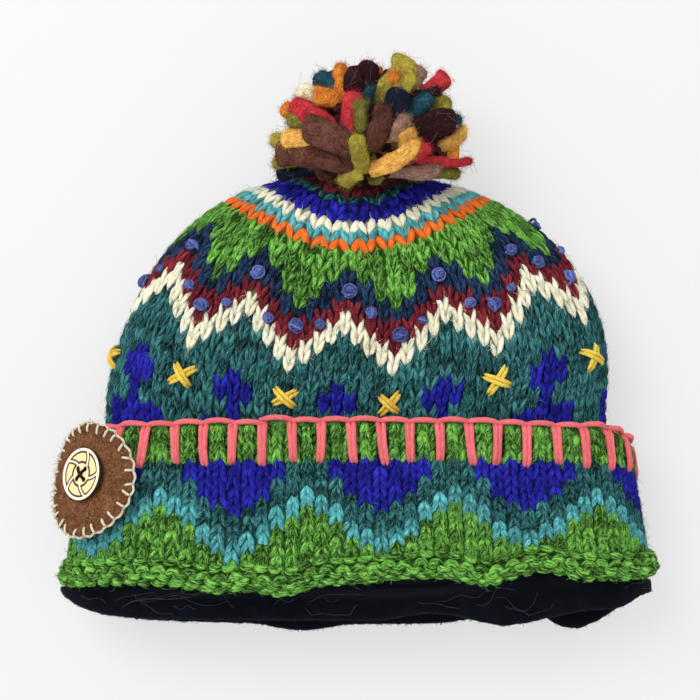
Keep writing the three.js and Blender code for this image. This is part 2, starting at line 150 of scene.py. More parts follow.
# Course of the hem's outside, and of the cuff's wall round from its hem to its inner fold
HEM_COURSE = table(
    "y out",
    (HEM_Y + 3.5, -4.6),
    (HEM_Y + 1, -3.6),
    (HEM_Y, -1.2),
    (HEM_Y + 1.2, HEM_ROLL - 2),
    (HEM_Y + 3.6, HEM_ROLL - 0.4),
    (HEM_Y + 6, HEM_ROLL - 0.4),
    (HEM_TOP_Y, HEM_ROLL - 2.2),
    (HEM_TOP_Y + 4, 0.3),
)
CUFF_COURSE = table(
    "y out",
    (HEM_Y + 1.5, -1.6),
    (HEM_Y + 3, HEM_ROLL - 2.8),
    (HEM_Y + 6, HEM_ROLL - 2.8),
    (HEM_TOP_Y + 3, -1.9),
    (HEM_TOP_Y + 21.7, -2.2),
    (HEM_TOP_Y + 43.4, -2.2),
    (CUFF_TOP_Y - 2, -2.8),
    (CUFF_TOP_Y - 1, 1 - CUFF_WALL),
    (HEM_TOP_Y + 37.2, -CUFF_WALL),
    (HEM_TOP_Y + 12.4, -CUFF_WALL),
    (HEM_Y + 5, -HEM_FOLD_REACH),
)

# Felt patch, button and thread
PATCH_Y = -61.5
PATCH_TURN = 50
PATCH_TILT = 10.5
PATCH_RADIUS = 24.8
PATCH_THICK = 2.4
PATCH_BEND_RADIUS = 60
PATCH_LIFT = 3.2
PATCH_STITCHES = 27
PATCH_STITCH_LENGTH = 3.7
PATCH_THREAD_RADIUS = 0.58
# Course of a stitch across the patch's edge: share of its length, lift, and size in thread radii
SPOKE = table(
    "inward lift size",
    (1.00, -0.70, 0.7),
    (0.82, 0.15, 1.0),
    (0.55, 0.40, 1.0),
    (0.25, 0.42, 1.0),
    (0.02, 0.20, 1.0),
    (-0.06, -0.90, 0.8),
)
BUTTON_SHIFT = (1, 2)
BUTTON_RADIUS = 11.5
BUTTON_THICK = 3
BUTTON_RIM = 1.2
BUTTON_DISH = 0.5
BUTTON_PETALS = 5
BUTTON_HUB = 0.42 * BUTTON_RADIUS
BUTTON_LINE = 0.9
BUTTON_LINE_DEPTH = 0.2
BUTTON_HOLE_RADIUS = 0.95
BUTTON_HOLE_PITCH = 4.6
BUTTON_HOLE_FLOOR = 0.4
BUTTON_STRAND = 0.72
# Course of the button's wall: how far in from its radius, height and tone; tone 1 paints the back and wall
# dark brown as painted shade
BUTTON_WALL = table(
    "inset z tone",
    (1.00, 0, 1),
    (0.25, 0.3, 1),
    (0.00, 0.9, 1),
    (0.00, BUTTON_THICK - 0.8, 1),
    (0.12, BUTTON_THICK - 0.35, 0),
    (0.40, BUTTON_THICK - 0.06, 0),
    (0.70, BUTTON_THICK, 0),
)
# Course of the button's thread from hole to hole, with its lift over the button's face
THREAD = table(
    "along lift",
    (0.00, -2.1),
    (0.02, -0.5),
    (0.10, 0.1),
    (0.30, 0.3),
    (0.50, 0.35),
    (0.70, 0.3),
    (0.90, 0.1),
    (0.98, -0.5),
    (1.00, -2.1),
)

# Bobble
BOBBLE = np.array([6, 87, 42])
BOBBLE_REACH = {"x": 46, "up": 41, "down": 24, "z": 42}
BOBBLE_CORE_SHARE = 0.78
BOBBLE_SEED = 1
STRIP_THICK = 6
STRIP_FULLNESS = 1.03
STRIP_SQUARENESS = 0.8
TIP_SHARE = 0.93
UNDER_STRIPS = 16
UNDER_WIDTH = 14
UNDER_TIP_SHARE = 0.97
FILL_STRIPS = 150
FILL_WIDTH = 12
FILL_FRONT_SHARE = 0.76
FLOOR_CLEAR = 0.6
GOLDEN_ANGLE = math.pi * (3 - math.sqrt(5))
# Strips of the bobble's upper side, from root to tip about its centre, with the root's depth
STRIPS = table(
    "root_x root_y tip_x tip_y width depth colour",
    (14.5, 26, 16.5, 39.5, 13, 0.82, "olive"),
    (7, 18, 17, 32, 13, 0.88, "olive"),
    (0, 20, 0.5, 36, 9, 0.8, "plum"),
    (-16, 18, -13, 36, 7, 0.85, "orange"),
    (-15, 24, -24, 30.5, 7, 0.8, "teal"),
    (-22, 24, -34, 22.5, 8, 0.8, "cream"),
    (-16, 21, -26, 19, 8, 0.9, "orange"),
    (-20, 5, -36, 17, 9, 0.9, "red"),
    (-32, 12, -40, 16.5, 6.5, 0.8, "orange"),
    (-13.5, 3, -7, 20, 8.5, 0.95, "red"),
    (-5, 18, -7.5, 31, 8, 0.85, "plum"),
    (-5.5, 4, -4, 16.5, 7.5, 0.95, "moss"),
    (1, -8, 6, 14, 9.5, 0.93, "chocolate"),
    (9, -3, 14, 22, 11, 0.9, "navy"),
    (18, 10, 28, 19.5, 8.5, 0.85, "teal"),
    (22, 23, 24, 35, 6.5, 0.8, "taupe"),
    (25, 24, 35.5, 32, 8, 0.8, "red"),
    (33, 9, 35, 20.5, 7.5, 0.85, "olive"),
    (20, 0, 39.5, 8, 14, 0.92, "plum"),
    (40, -7, 44.5, 6, 7, 0.85, "gold"),
    (0, -17, 21.5, -2, 8.5, 0.99, "gold"),
    (-3.5, -18, -6.5, 0, 6.8, 0.99, "olive"),
    (-9, -7, -31, 4.5, 13.5, 0.95, "chocolate"),
    (-10, -15.5, -43.5, -6, 13, 0.93, "chocolate"),
    (-28, 3, -41, -0.5, 9.5, 0.85, "gold"),
    (-38, -4, -46, 1, 6.5, 0.8, "olive"),
    (-36, -11, -45, -10, 6, 0.8, "olive"),
    (25, -11.5, 47.5, -8, 4.2, 0.92, "red"),
    (20, -13, 26, -4, 7, 0.9, "red"),
    (11, -19, 32, -13.5, 7.5, 0.9, "taupe"),
    (27, -16, 42, -14, 6, 0.85, "moss"),
    (-33, -15, -43, -15, 6, 0.85, "navy"),
    (36, 9, 42, 10, 5, 0.88, "teal"),
    (-31, 8, -38, 8.5, 7, 0.85, "moss"),
    (25, 25, 32, 23, 6, 0.8, "plum"),
    (-3, 18, 1, 22, 6, 0.86, "teal"),
    (9, 25, 11.5, 30, 5, 0.9, "orange"),
    (14, 0, 17, 8, 6, 0.93, "taupe"),
    (20.5, -5, 15.5, 2, 7.5, 0.99, "gold"),
    (-4.5, -18.5, -13, -20.5, 7.2, 0.99, "olive"),
)
FELT_COLOURS = {
    "olive": "968836",
    "moss": "6f6a30",
    "plum": "2d161a",
    "orange": "d57c30",
    "teal": "19424f",
    "cream": "f2e2b4",
    "red": "b5323a",
    "chocolate": "57352c",
    "navy": "171b2b",
    "taupe": "937062",
    "gold": "eba953",
}
# Strips between the table's, in dark colours above that are partly painted shade in the gaps, and mixed ones
# round the sides and below
GAP_SHADE_COLOURS = ("plum", "chocolate", "plum", "moss", "plum", "chocolate", "plum")
MIXED_COLOURS = ("chocolate", "olive", "plum", "red", "taupe", "gold", "navy", "teal", "moss", "orange")
# The middle that the strips are tied into, as a share of the bobble, dark as painted shade in the gaps
# between strips
CORE_SHARE = 0.68
CORE_SHADE_COLOUR = "plum"
# Pale hairs on each strip from the table
STRAY_HAIRS = 7
HAIR_COLOUR = "taupe"
HAIR_RADIUS = 0.06
HAIR_STEPS = 8
# Fineness of a filling strip and of one from the table
STRIP_GRADES = table("rings sides fibres", (10, 10, 45), (20, 18, 560))

# Yarn colours, named as the charts name them
YARNS = table(
    "letter name colour heather",
    ("T", "teal", "2e5f60", 1.0),
    ("B", "blue", "222292", 0.65),
    ("C", "cream", "fff9d8", 0.12),
    ("M", "maroon", "782730", 0.62),
    ("N", "navy", "1d2f4a", 0.95),
    ("G", "green", "578b39", 1.0),
    ("O", "orange", "ff772e", 0.25),
    ("Q", "turquoise", "55a6aa", 0.50),
)
SEWING_YARNS = table(
    "name colour heather",
    ("wool_pink", "ef7377", 0.16),
    ("wool_mustard", "f5c852", 0.3),
    ("wool_periwinkle", "5863a0", 0.7),
    ("thread_cream", "f4e6c8", 0.15),
    ("thread_brown", "2a1712", 0.3),
    ("lint_grey", "6d7380", 0.2),
)
FLEECE = "0b0d15"
BROWN_FELT = "744d33"
BUTTON_CREAM = "f5ead0"
BUTTON_YELLOW = "e2c88e"
BUTTON_BROWN = "1f120c"
# Each stitch's colour times this on the backing: painted shade in the gaps between stitches
BACKING_PAINTED_SHADE = 0.3

# One repeat of the crown's pattern, top row first, with one letter for a plain row.
# Rows above the zigzags lose stitches.
CROWN_CHART_TOP = 19
CROWN_CHART = (
    *"MMTBBCQOGG",
    "GGGGNGGG",
    "GGGNNNGG",
    "GGNNMNNG",
    "GNNMMMNN",
    "NNMMCMMN",
    "MMMCCCMM",
    "MMCCTCCM",
    "MCCTTTCC",
    "CCTTTTTC",
    "CTTTTTTT",
    "T",
    "TTTTBTTT",
    "TTTBBBTT",
    "TTTBBBTT",
    "TTTTBTTT",
    "TTTTBTTT",
    "TTBBBBBT",
    "TTBBBBBT",
    "TTBBBBBT",
    *"TTTT",
)
CROWN_REPEATS = 11
CROWN_REPEAT_STITCHES = 8
CROWN_PHASE = 0.0285
# From each row up, so many stitches are left in a repeat
CROWN_STITCHES = ((-13, 8), (6, 7), (8, 6), (10, 5), (12, 4), (15, 3), (17, 2))
CROWN_BASE_ROW = -11
CROWN_ROWS = 30
CROWN_ROWS_REACH = 0.85
# The crown's surface starts this share of a meridian below its base ring
BELOW_BASE = 0.09
ROW_DIP = 12
ROW_BASE_DROP = 10
UPPER_ROW_STRETCH = 1.1
HIDDEN_BELOW_CUFF_TOP = 9

# One repeat of the cuff's pattern in the same way
CUFF_CHART = (
    *"GGGG",
    "BBBBTTTBBB",
    "BBBBTTTBBB",
    "BBBTTTTTBB",
    "BBBTTQTTBB",
    "BBTTQQQTTB",
    "BTTQQGQQTT",
    "TTTQGGGQTT",
    "TTQGGGGGQT",
    "TQQGGGGGQQ",
    "QQGGGGGGGQ",
    "QGGGGGGGGG",
    "G",
)
CUFF_REPEATS = 9
CUFF_REPEAT_STITCHES = 10
CUFF_PHASE = 0.0175
CUFF_ROWS = len(CUFF_CHART)
CUFF_STITCHES = CUFF_REPEATS * CUFF_REPEAT_STITCHES

# Course of one leg of a knitted V: shares of a row and of a stitch, depth and size in yarn radii
LEG = table(
    "along across depth size",
    (-0.42, 0.050, 0.82, 0.26),
    (-0.02, 0.110, 0.20, 0.76),
    (0.36, 0.195, 0.00, 1.00),
    (0.75, 0.285, 0.06, 1.00),
    (1.12, 0.375, 0.40, 0.76),
    (1.50, 0.440, 1.15, 0.30),
)
LEG_RADIUS = 0.237
LEG_SIDES = 5
YARN_FLATNESS = 0.9

# Course of one purl bump of the garter hem: shares of a stitch and of a row, lift and size in yarn radii
BUMP = table(
    "along rise lift size",
    (-0.46, -0.42, -2.1, 0.45),
    (-0.35, -0.16, -0.55, 0.90),
    (-0.13, 0.06, 0.15, 1.05),
    (0.13, 0.06, 0.15, 1.05),
    (0.35, -0.16, -0.55, 0.90),
    (0.46, -0.42, -2.1, 0.45),
)
BUMP_SIDES = 6
HEM_RISES = np.linspace(0.06, 0.9, 6)
HEM_BUMPS = {"row_step": 0.168, "radius": 1.72, "sink": 0.5}
CAST_OFF_BUMPS = {"row_step": 0.02, "radius": 1.4, "sink": 1.5}

# Blanket stitch along the cuff's top edge
BARS = 44
BAR_PHASE = -0.0042
BAR_LENGTH = 16.5
BAR_RADIUS = 1.22
BAR_SPREAD = 1.15
EDGE_YARN_RADIUS = 1.22
PUFF = 1.1
EDGE_ROUNDING = 1.6
EDGE_ROUND_FROM = 0.955
CUFF_TOP_ROUND = 554
# Course of one bar: share of its length, lift, share of its strands' spread, and size in yarn radii
BAR = table(
    "down lift spread size",
    (0.00, 0.20, 1.15, 1.00),
    (0.12, 1.00, 1.10, 1.05),
    (0.35, 1.20, 1.00, 1.00),
    (0.60, 1.20, 0.92, 1.00),
    (0.82, 0.95, 0.85, 0.98),
    (0.96, 0.00, 0.70, 0.85),
    (1.04, -1.60, 0.50, 0.60),
)
EDGE_SIZES = (0.6, 0.85, 1, 1, 1, 1, 1, 0.9, 0.6)

# Embroidery on the crown: chart column, row and radius of the knots of one repeat
KNOTS = table("column row radius", (0, 3.8, 2.8), (2, 4.8, 1.6), (4, 8.0, 2.6), (6, 5.0, 2.0))
KNOT_YARN = 0.68
KNOT_TURNS = 2.0
KNOT_FILL_SIZES = np.array([0.45, 0.62, 0.62, 0.45])
CROSS_ROW = -3.0
CROSS_REACH = 7.4
CROSS_RADIUS = 0.92
CROSS_ANGLES = (39, -39)
# Course of one stroke of a cross: share of its reach, lift, and size in yarn radii
STROKE = table(
    "reach lift size",
    (-1, -1.8, 0.6),
    (-2 / 3, 0.3, 0.95),
    (-1 / 3, 0.8, 1),
    (0, 1.0, 1.05),
    (1 / 3, 0.8, 1),
    (2 / 3, 0.3, 0.95),
    (1, -1.8, 0.6),
)

# Loose fibres: the share that lies flat, how far those and the others stand off, width and tones
YARN_FUZZ = {"flat": 0.8, "low": 0.06, "high": 0.35, "width": 0.17, "tones": (-1.2, 2.4)}
STRIP_FUZZ = {"flat": 0.65, "low": 0.08, "high": 0.45, "width": 0.1, "tones": (-0.7, 1.8)}
# How many fibres each leg of a stitch and each purl bump has, and how long they are
LEG_FIBRES = {"per_line": 4.2, "length": 3.8}
BUMP_FIBRES = {"per_line": 4.5, "length": 2.6}
STRIP_FIBRE_LENGTH = 2.2
PATCH_FIBRES = 2400
FLEECE_FIBRES = 4200
# Fibres of one piece share so many cells of its bake map
FIBRE_CELLS = 16
# A tube's tip reaches past its last ring by this share of its radius
TUBE_TIP = 0.6

# Grids that surfaces are read from
GRID_TURNS = 480
GRID_RISES = 200
FULL_TURN = 2 * math.pi


def smooth_step(x, low, high):
    """0 up to low, 1 from high on, and a smooth rise between them."""
    t = np.clip((x - low) / (high - low), 0, 1)
    return t * t * (3 - 2 * t)


def mix(a, b, t):
    return a + (b - a) * t


def share_of(x, start, end):
    """How far x is from start to end, from 0 to 1."""
    return min(max((x - start) / (end - start), 0), 1)


def unit(v):
    return v / np.maximum(np.linalg.norm(v, axis=-1, keepdims=True), 1e-9)


def kept_above(points, z):
    """Points raised to z where they lie below it."""
    return np.maximum(points, (-np.inf, -np.inf, z))


def turns_of(count):
    """Angles evenly spaced round a full turn."""
    return FULL_TURN * np.arange(count) / count


def lengths_along(points):
    """The length of a line from its first point to each of its points."""
    steps = np.linalg.norm(np.diff(points, axis=0), axis=-1)
    return np.concatenate([np.zeros_like(steps[:1]), np.cumsum(steps, axis=0)])


def wobble(points, scale, seed):
    """Smooth noise, about -1 to 1, at each point."""
    shift = Vector((seed * 17.3, seed * 5.1, seed * 9.7))
    values = [noise.noise(Vector(p) * scale + shift) for p in points.reshape(-1, 3)]
    return np.array(values).reshape(points.shape[:-1])


# Sections of the hat


def oval(section, turns):
    """Points (x, z) evenly spaced round an oval section, from its top centre towards +X."""
    s = section
    flat = s["half"] - s["top_end"]
    back_flat = s["half"] - s["back_end"]
    quarter = np.linspace(0, math.pi / 2, 60)
    run = np.linspace(0, 1, 40)
    x = [
        flat * run,
        flat + s["top_end"] * np.sin(quarter),
        back_flat + s["back_end"] * np.cos(quarter),
        back_flat * (1 - run),
    ]
    z = [
        s["high"] - s["crown"] * run**2,
        mix(s["mid"], s["high"] - s["crown"], np.cos(quarter)),
        mix(s["mid"], s["low"], np.sin(quarter)),
        np.full_like(run, s["low"]),
    ]
    right = np.stack([np.concatenate(x), np.concatenate(z)], -1)
    loop = np.concatenate([right, right[::-1] * (-1, 1)])
    length = lengths_along(loop)
    at = np.arange(turns) / turns * length[-1]
    return np.interp(at, length, loop[:, 0]) + s["centre"], np.interp(at, length, loop[:, 1])


def ring3(section, y, turns=GRID_TURNS):
    """An oval section as points at y."""
    x, z = oval(section, turns)
    return np.stack([x, np.full(turns, y), z], -1)


def dome(t, power, root):
    """What is left of a dome's width or height at t, from 1 at its foot to 0 at its top."""
    return (1 - t**power) ** (1 / root)


def crown_section(y, inset):
    """The knitted crown's oval section at y, taken in all round by inset."""
    t = share_of(y, SHOULDER_Y, CROWN_TOP_Y - inset)
    free = float(smooth_step(y, CUFF_TOP_Y, CUFF_TOP_Y + TUCK_LENGTH))
    flare = share_of(y, CUFF_TOP_Y, CROWN_HEM_Y)
    half = (mix(CROWN_HALF, CROWN_HEM_HALF, flare) - inset) * dome(t, 2, DOME_WIDTH_POWER)
    under = CUFF_WALL + GAP
    flat_low = mix(under, 0, free) + inset
    flat_high = mix(CROWN_HIGH - under / 2, CROWN_HIGH, free) - inset
    return {
        "centre": CROWN_LEAN * math.sin(math.pi * t),
        "half": half,
        "low": max(flat_low, mix(WIDEST_HIGH, flat_low - BACK_PRESS, dome(t, DOME_BACK_POWER, 2))),
        "mid": WIDEST_HIGH,
        "high": mix(WIDEST_HIGH, flat_high, dome(t, DOME_TOP_POWER, 2)),
        "top_end": mix(TOP_END - inset, half, t**2),
        "back_end": mix(BACK_END - inset, half, t**2),
        "crown": mix(TOP_CROWN, 0, t**2),
    }


def cuff_section(y, out):
    """The cuff's oval section at y, grown all round by out. Its back is flat on the surface."""
    up = share_of(y, HEM_TOP_Y, CUFF_TOP_Y)
    return {
        "centre": mix(1, 0, up),
        "half": mix(CUFF_HEM_HALF, CUFF_TOP_HALF, up) + out,
        "low": max(0, -out),
        "mid": WIDEST_HIGH,
        "high": CROWN_HIGH + (CUFF_WALL + GAP) / 2 + CUFF_STAND_OFF * up + out,
        "top_end": TOP_END + out,
        "back_end": BACK_END + out,
        "crown": TOP_CROWN,
    }


def fold_drop(folds, points):
    """The sum of an edge's folds at points, each a smooth bump on the hat's front or back."""
    x = points[..., 0]
    above = points[..., 2] - WIDEST_HIGH
    reach = smooth_step(np.abs(above), 0, WIDEST_HIGH / 2)
    side = np.where(above > 0, 1, -1)
    drop = np.zeros_like(x)
    for fold in folds:
        away = np.minimum(1, np.abs(x - fold["at"]) / fold["width"])
        bump = 0.5 + 0.5 * np.cos(math.pi * away)
        drop += np.where(side == fold["side"], fold["drop"] * reach * bump, 0)
    return drop


def hem_rise(x):
    """How much higher the hem lies at x than in the middle."""
    return HEM_RISE["height"] * smooth_step(x, HEM_RISE["from_x"], HEM_RISE["to_x"])


def inner_rise(x, y):
    """The same inside the hat, fading out above the hem."""
    return hem_rise(x) * (1 - smooth_step(y, CROWN_HEM_Y, HEM_BAND_TOP_Y))


def shaped_cuff_ring(y, out, turns=GRID_TURNS):
    """A ring of the cuff with its arched top edge and its folded hem, higher to the right."""
    section = cuff_section(y, out)
    ring = ring3(section, y, turns)
    x = ring[:, 0]
    up = share_of(y, HEM_TOP_Y, CUFF_TOP_Y)
    arch = CUFF_TOP_ARCH * (1 - (x / CUFF_TOP_HALF) ** 2)
    droop = CUFF_END_DROOP * np.abs((x - section["centre"]) / section["half"]) ** CUFF_END_POWER
    ring[:, 1] += (arch - droop) * up + (hem_rise(x) - fold_drop(HEM_FOLDS, ring)) * (1 - up) ** 2
    return ring


# Surfaces that stitches are laid on


class Surface:
    """A closed-round grid of points, read between its points by rise (0 to 1) and turn (0 to 1)."""

    def __init__(self, points):
        self.points = points
        around = np.roll(points, -1, axis=1) - np.roll(points, 1, axis=1)
        self.normals = unit(np.cross(around, np.gradient(points, axis=0)))

    def sample(self, rise, turn):
        """Places on the surface, and the directions square to it there."""
        rows, turns, _ = self.points.shape
        r = np.clip(rise, 0, 1) * (rows - 1)
        r0 = np.minimum(r.astype(int), rows - 2)
        fr = (r - r0)[..., None]
        t = np.mod(turn, 1) * turns
        t0 = t.astype(int) % turns
        t1 = (t0 + 1) % turns
        ft = (t - np.floor(t))[..., None]

        def read(grid):
            low = mix(grid[r0, t0], grid[r0, t1], ft)
            return mix(low, mix(grid[r0 + 1, t0], grid[r0 + 1, t1], ft), fr)

        return read(self.points), unit(read(self.normals))


def crown_surface():
    """The crown's surface, whose rises share out each meridian from a dipped base ring to the top."""
    straight = np.linspace(CROWN_HEM_Y, SHOULDER_Y, 50)
    closing = np.sin(np.linspace(0, 0.995, 110)[1:] * math.pi / 2)
    levels = np.concatenate([straight, mix(SHOULDER_Y, CROWN_TOP_Y, closing)])
    rings = np.stack([ring3(crown_section(y, 0), y) for y in levels])
    arc = lengths_along(rings)
    base = ring3(crown_section(CUFF_TOP_Y, 0), CUFF_TOP_Y)
    base_y = CUFF_TOP_Y - ROW_BASE_DROP - ROW_DIP * (1 - (base[:, 0] / CROWN_HALF) ** 2)
    shares = np.linspace(-BELOW_BASE, 1, GRID_RISES)
    grid = np.zeros((GRID_RISES, GRID_TURNS, 3))
    for j in range(GRID_TURNS):
        at = mix(np.interp(base_y[j], levels, arc[:, j]), arc[-1, j], shares)
        for k in range(3):
            grid[:, j, k] = np.interp(at, arc[:, j], rings[:, j, k])
    return Surface(grid)


def crown_rise(row):
    """The surface rise at a row of the crown's knitting, whose rows lie wider above the zigzag."""
    row = row + (UPPER_ROW_STRETCH - 1) * np.maximum(row, 0)
    share = (row - CROWN_BASE_ROW) / CROWN_ROWS * CROWN_ROWS_REACH
    return (share + BELOW_BASE) / (1 + BELOW_BASE)


def cuff_surface():
    """The cuff's outside, puffed out between the bars of its blanket stitch."""
    levels = np.linspace(HEM_TOP_Y, CUFF_TOP_Y, GRID_RISES)
    flat = Surface(np.stack([shaped_cuff_ring(y, 0) for y in levels]))
    rise = np.linspace(0, 1, GRID_RISES)[:, None]
    turn = np.arange(GRID_TURNS)[None] / GRID_TURNS
    bar_zone = BAR_LENGTH / (CUFF_TOP_Y - HEM_TOP_Y)
    held = smooth_step(rise, 1 - 1.25 * bar_zone, 1 - 0.75 * bar_zone)
    rounding = EDGE_ROUNDING * smooth_step(rise, EDGE_ROUND_FROM, 1.0) ** 2
    puff = -PUFF * np.cos(FULL_TURN * BARS * (turn - BAR_PHASE)) * held - rounding
    return Surface(flat.points + flat.normals * puff[..., None])


def hem_surface():
    """The rolled hem, from inside the hat round its lower edge and up to the first knitted row."""
    course = np.stack(columns(HEM_COURSE), -1)
    length = lengths_along(course)
    at = np.linspace(0, length[-1], 60)
    levels = zip(*(np.interp(at, length, part) for part in course.T))
    return Surface(np.stack([shaped_cuff_ring(y, out) for y, out in levels]))


# Meshes


# Points with a tone on each, and faces' corners with a yarn map (around, along) and an island on each
Shape = namedtuple("Shape", "points corners sizes uv tone island")


def shape_of(points, faces, maps, tone, island):
    """A shape from one array of faces, and one of their maps, for each number of corners."""
    corners = np.concatenate([f.reshape(-1) for f in faces])
    sizes = np.concatenate([np.full(len(f), f.shape[1]) for f in faces])
    uv = np.concatenate([m.reshape(-1, 2) for m in maps])
    return Shape(points.reshape(-1, 3), corners, sizes, uv, tone.reshape(-1), island)


def joined(shapes):
    """Several shapes as one."""
    points = np.cumsum([0] + [len(s.points) for s in shapes])
    islands = np.cumsum([0] + [s.island.max() + 1 for s in shapes])
    starts = zip(shapes, points, islands)
    moved = [s._replace(corners=s.corners + p, island=s.island + i) for s, p, i in starts]
    return Shape(*(np.concatenate(part) for part in zip(*moved)))


def bake_map(shape):
    """A cell of the unit square for each island, filled by its own yarn map."""
    across = math.ceil(math.sqrt(shape.island.max() + 1))
    low = shape.uv.min(0)
    span = np.maximum(shape.uv.max(0) - low, 1e-6)
    inside = (shape.uv - low) / span * 0.94 + 0.03
    cell = np.stack([shape.island % across, shape.island // across], -1)
    return (cell + inside) / across


def make_piece(name, shape, material, replaces=()):
    """A mesh object on the root body and in place of the nodes that it replaces."""
    mesh = bpy.data.meshes.new(name)
    mesh.vertices.add(len(shape.points))
    metres = kept_above(shape.points, RESTING_Z) * MM
    mesh.vertices.foreach_set("co", metres.astype(np.float32).ravel())
    mesh.loops.add(len(shape.corners))
    mesh.loops.foreach_set("vertex_index", shape.corners.astype(np.int32))
    mesh.polygons.add(len(shape.sizes))
    starts = np.concatenate([[0], np.cumsum(shape.sizes)[:-1]])
    mesh.polygons.foreach_set("loop_start", starts.astype(np.int32))
    mesh.update(calc_edges=True)
    mesh.validate()
    mesh.polygons.foreach_set("use_smooth", np.ones(len(shape.sizes), bool))
    for title, values in (("OFBake", bake_map(shape)), ("Yarn", shape.uv)):
        layer = mesh.uv_layers.new(name=title)
        layer.data.foreach_set("uv", values.astype(np.float32).ravel())
    tone = mesh.attributes.new("tone", "FLOAT", "POINT")
    tone.data.foreach_set("value", shape.tone.astype(np.float32))
    mesh.materials.append(material)
    piece = bpy.data.objects.new(name, mesh)
    bpy.context.scene.collection.objects.link(piece)
    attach(piece, "root")
    if replaces:
        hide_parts(*replaces)
    return piece


def signed_volume(points, faces):
    """Six times the volume in closed faces, below zero if they point inwards."""
    total = 0
    for f in faces:
        for k in range(1, f.shape[1] - 1):
            a, b, c = points[f[:, 0]], points[f[:, k]], points[f[:, k + 1]]
            total += np.sum(a * np.cross(b, c))
    return total


def lofts(grids, poles=(), wrap=False, length=1.0, tones=0.5, first=0):
    """Closed surfaces through rings of points, whose ends meet poles or wrap round.

    The points are (surface, ring, turn, 3). Each quad starts at its corner first, and is split from there.
    """
    count, rings, turns, _ = grids.shape
    spans = rings if wrap else rings - 1
    i, j = np.meshgrid(np.arange(spans), np.arange(turns), indexing="ij")
    low, high = i * turns, (i + 1) % rings * turns
    after = (j + 1) % turns
    quads = np.stack([low + j, high + j, high + after, low + after], -1).reshape(-1, 4)
    u = np.stack([j, j, j + 1, j + 1], -1) / turns
    v = np.stack([i, i + 1, i + 1, i], -1) / spans * length
    quad_map = np.stack([u, v], -1).reshape(-1, 4, 2)
    faces = [np.roll(quads, -first, axis=1)]
    maps = [np.roll(quad_map, -first, axis=1)]
    points = grids.reshape(count, -1, 3)
    tones = np.broadcast_to(tones, grids.shape[:3])
    tone = tones.reshape(count, -1)
    k = np.arange(turns)
    for end, order, pole in zip((0, rings - 1), (1, -1), poles):
        tip = np.full(turns, points.shape[1])
        fan = np.stack([tip, end * turns + k, end * turns + (k + 1) % turns], -1)
        fan_u = np.stack([k + 0.5, k, k + 1], -1) / turns
        fan_map = np.stack([fan_u, np.full_like(fan_u, length if end else 0)], -1)
        faces.append(fan[:, ::order])
        maps.append(fan_map[:, ::order])
        points = np.concatenate([points, pole[:, None]], axis=1)
        tone = np.concatenate([tone, tones[:, end].mean(axis=1, keepdims=True)], axis=1)
    if signed_volume(points[0], faces) < 0:
        faces = [f[:, ::-1] for f in faces]
        maps = [m[:, ::-1] for m in maps]
    offset = (np.arange(count) * points.shape[1])[:, None, None]
    island = np.concatenate([np.repeat(np.arange(count), f.size) for f in faces])
    faces = [(f + offset).reshape(-1, f.shape[1]) for f in faces]
    maps = [np.broadcast_to(m, (count, *m.shape)) for m in maps]
    return shape_of(points, faces, maps, tone, island)


def loft(grid, poles=(), wrap=False, tone=0.5):
    """One closed surface."""
    return lofts(grid[None], [np.asarray(pole)[None] for pole in poles], wrap, tones=tone, first=1)


def tubes(lines, ups, widths, heights, around, length=1.0, tones=0.5):
    """Many closed tubes at once: lines is (tube, station, 3), widths and heights are radii."""
    forward = unit(np.gradient(lines, axis=1))
    side = unit(np.cross(forward, ups))
    up = np.cross(side, forward)
    angle = turns_of(around) - math.pi / 2
    rings = lines[:, :, None] + side[:, :, None] * (widths[..., None] * np.cos(angle))[..., None]
    rings = rings + up[:, :, None] * (heights[..., None] * np.sin(angle))[..., None]
    first = lines[:, 0] - forward[:, 0] * widths[:, :1] * TUBE_TIP
    last = lines[:, -1] + forward[:, -1] * widths[:, -1:] * TUBE_TIP
    return lofts(rings, (first, last), length=length, tones=np.reshape(tones, (-1, 1, 1)))


def fibres(roots, normals, headings, length, width, lift, tones):
    """Loose fibres: narrow curved bands that leave their roots along a heading and stand off a little."""
    count = len(roots)
    along = unit(headings - normals * np.sum(headings * normals, axis=1, keepdims=True))
    beside = np.cross(normals, along)
    reach = length * rng.uniform(0.5, 1.4, (count, 1))
    turned = unit(along + beside * rng.normal(0, 0.6, (count, 1)))
    height = reach * lift * rng.uniform(0.1, 1.5, (count, 1))
    middle = roots + along * reach * 0.5 + normals * height
    tip = middle + turned * reach * 0.5 + normals * height * rng.uniform(-1, 0.7, (count, 1))
    flat = unit(beside + normals * rng.normal(0, 0.5, (count, 1))) * width / 2
    ends = [roots - flat, roots + flat, middle - flat, middle + flat, tip - flat * 0.4, tip + flat * 0.4]
    quads = (np.array([[0, 1, 3, 2], [2, 3, 5, 4]]) + 6 * np.arange(count)[:, None, None]).reshape(-1, 4)
    band = np.array([[[0, 0], [1, 0], [1, 0.5], [0, 0.5]], [[0, 0.5], [1, 0.5], [1, 1], [0, 1]]])
    maps = np.tile(band, (count, 1, 1))
    island = np.repeat(np.arange(count) % FIBRE_CELLS, 8)
    return shape_of(np.stack(ends, axis=1), [quads], [maps], np.repeat(tones, 6), island)


def fuzz(kind, roots, normals, headings, length):
    """Fibres of a kind, of which a share lies flat and the others stand off."""
    count = len(roots)
    lift = np.where(rng.uniform(0, 1, (count, 1)) < kind["flat"], kind["low"], kind["high"])
    tones = rng.uniform(*kind["tones"], count)
    return fibres(roots, normals, headings, length, kind["width"], lift, tones)


# Materials


def linear(code):
    """A colour code as linear red, green, blue and alpha."""
    values = [int(code[i : i + 2], 16) / 255 for i in (0, 2, 4)]
    return tuple(v / 12.92 if v <= 0.04045 else ((v + 0.055) / 1.055) ** 2.4 for v in values) + (1,)


def shade(colour, factor):
    """A colour made darker or paler by a factor."""
    return tuple(min(1, c * factor) for c in colour[:3]) + (1,)


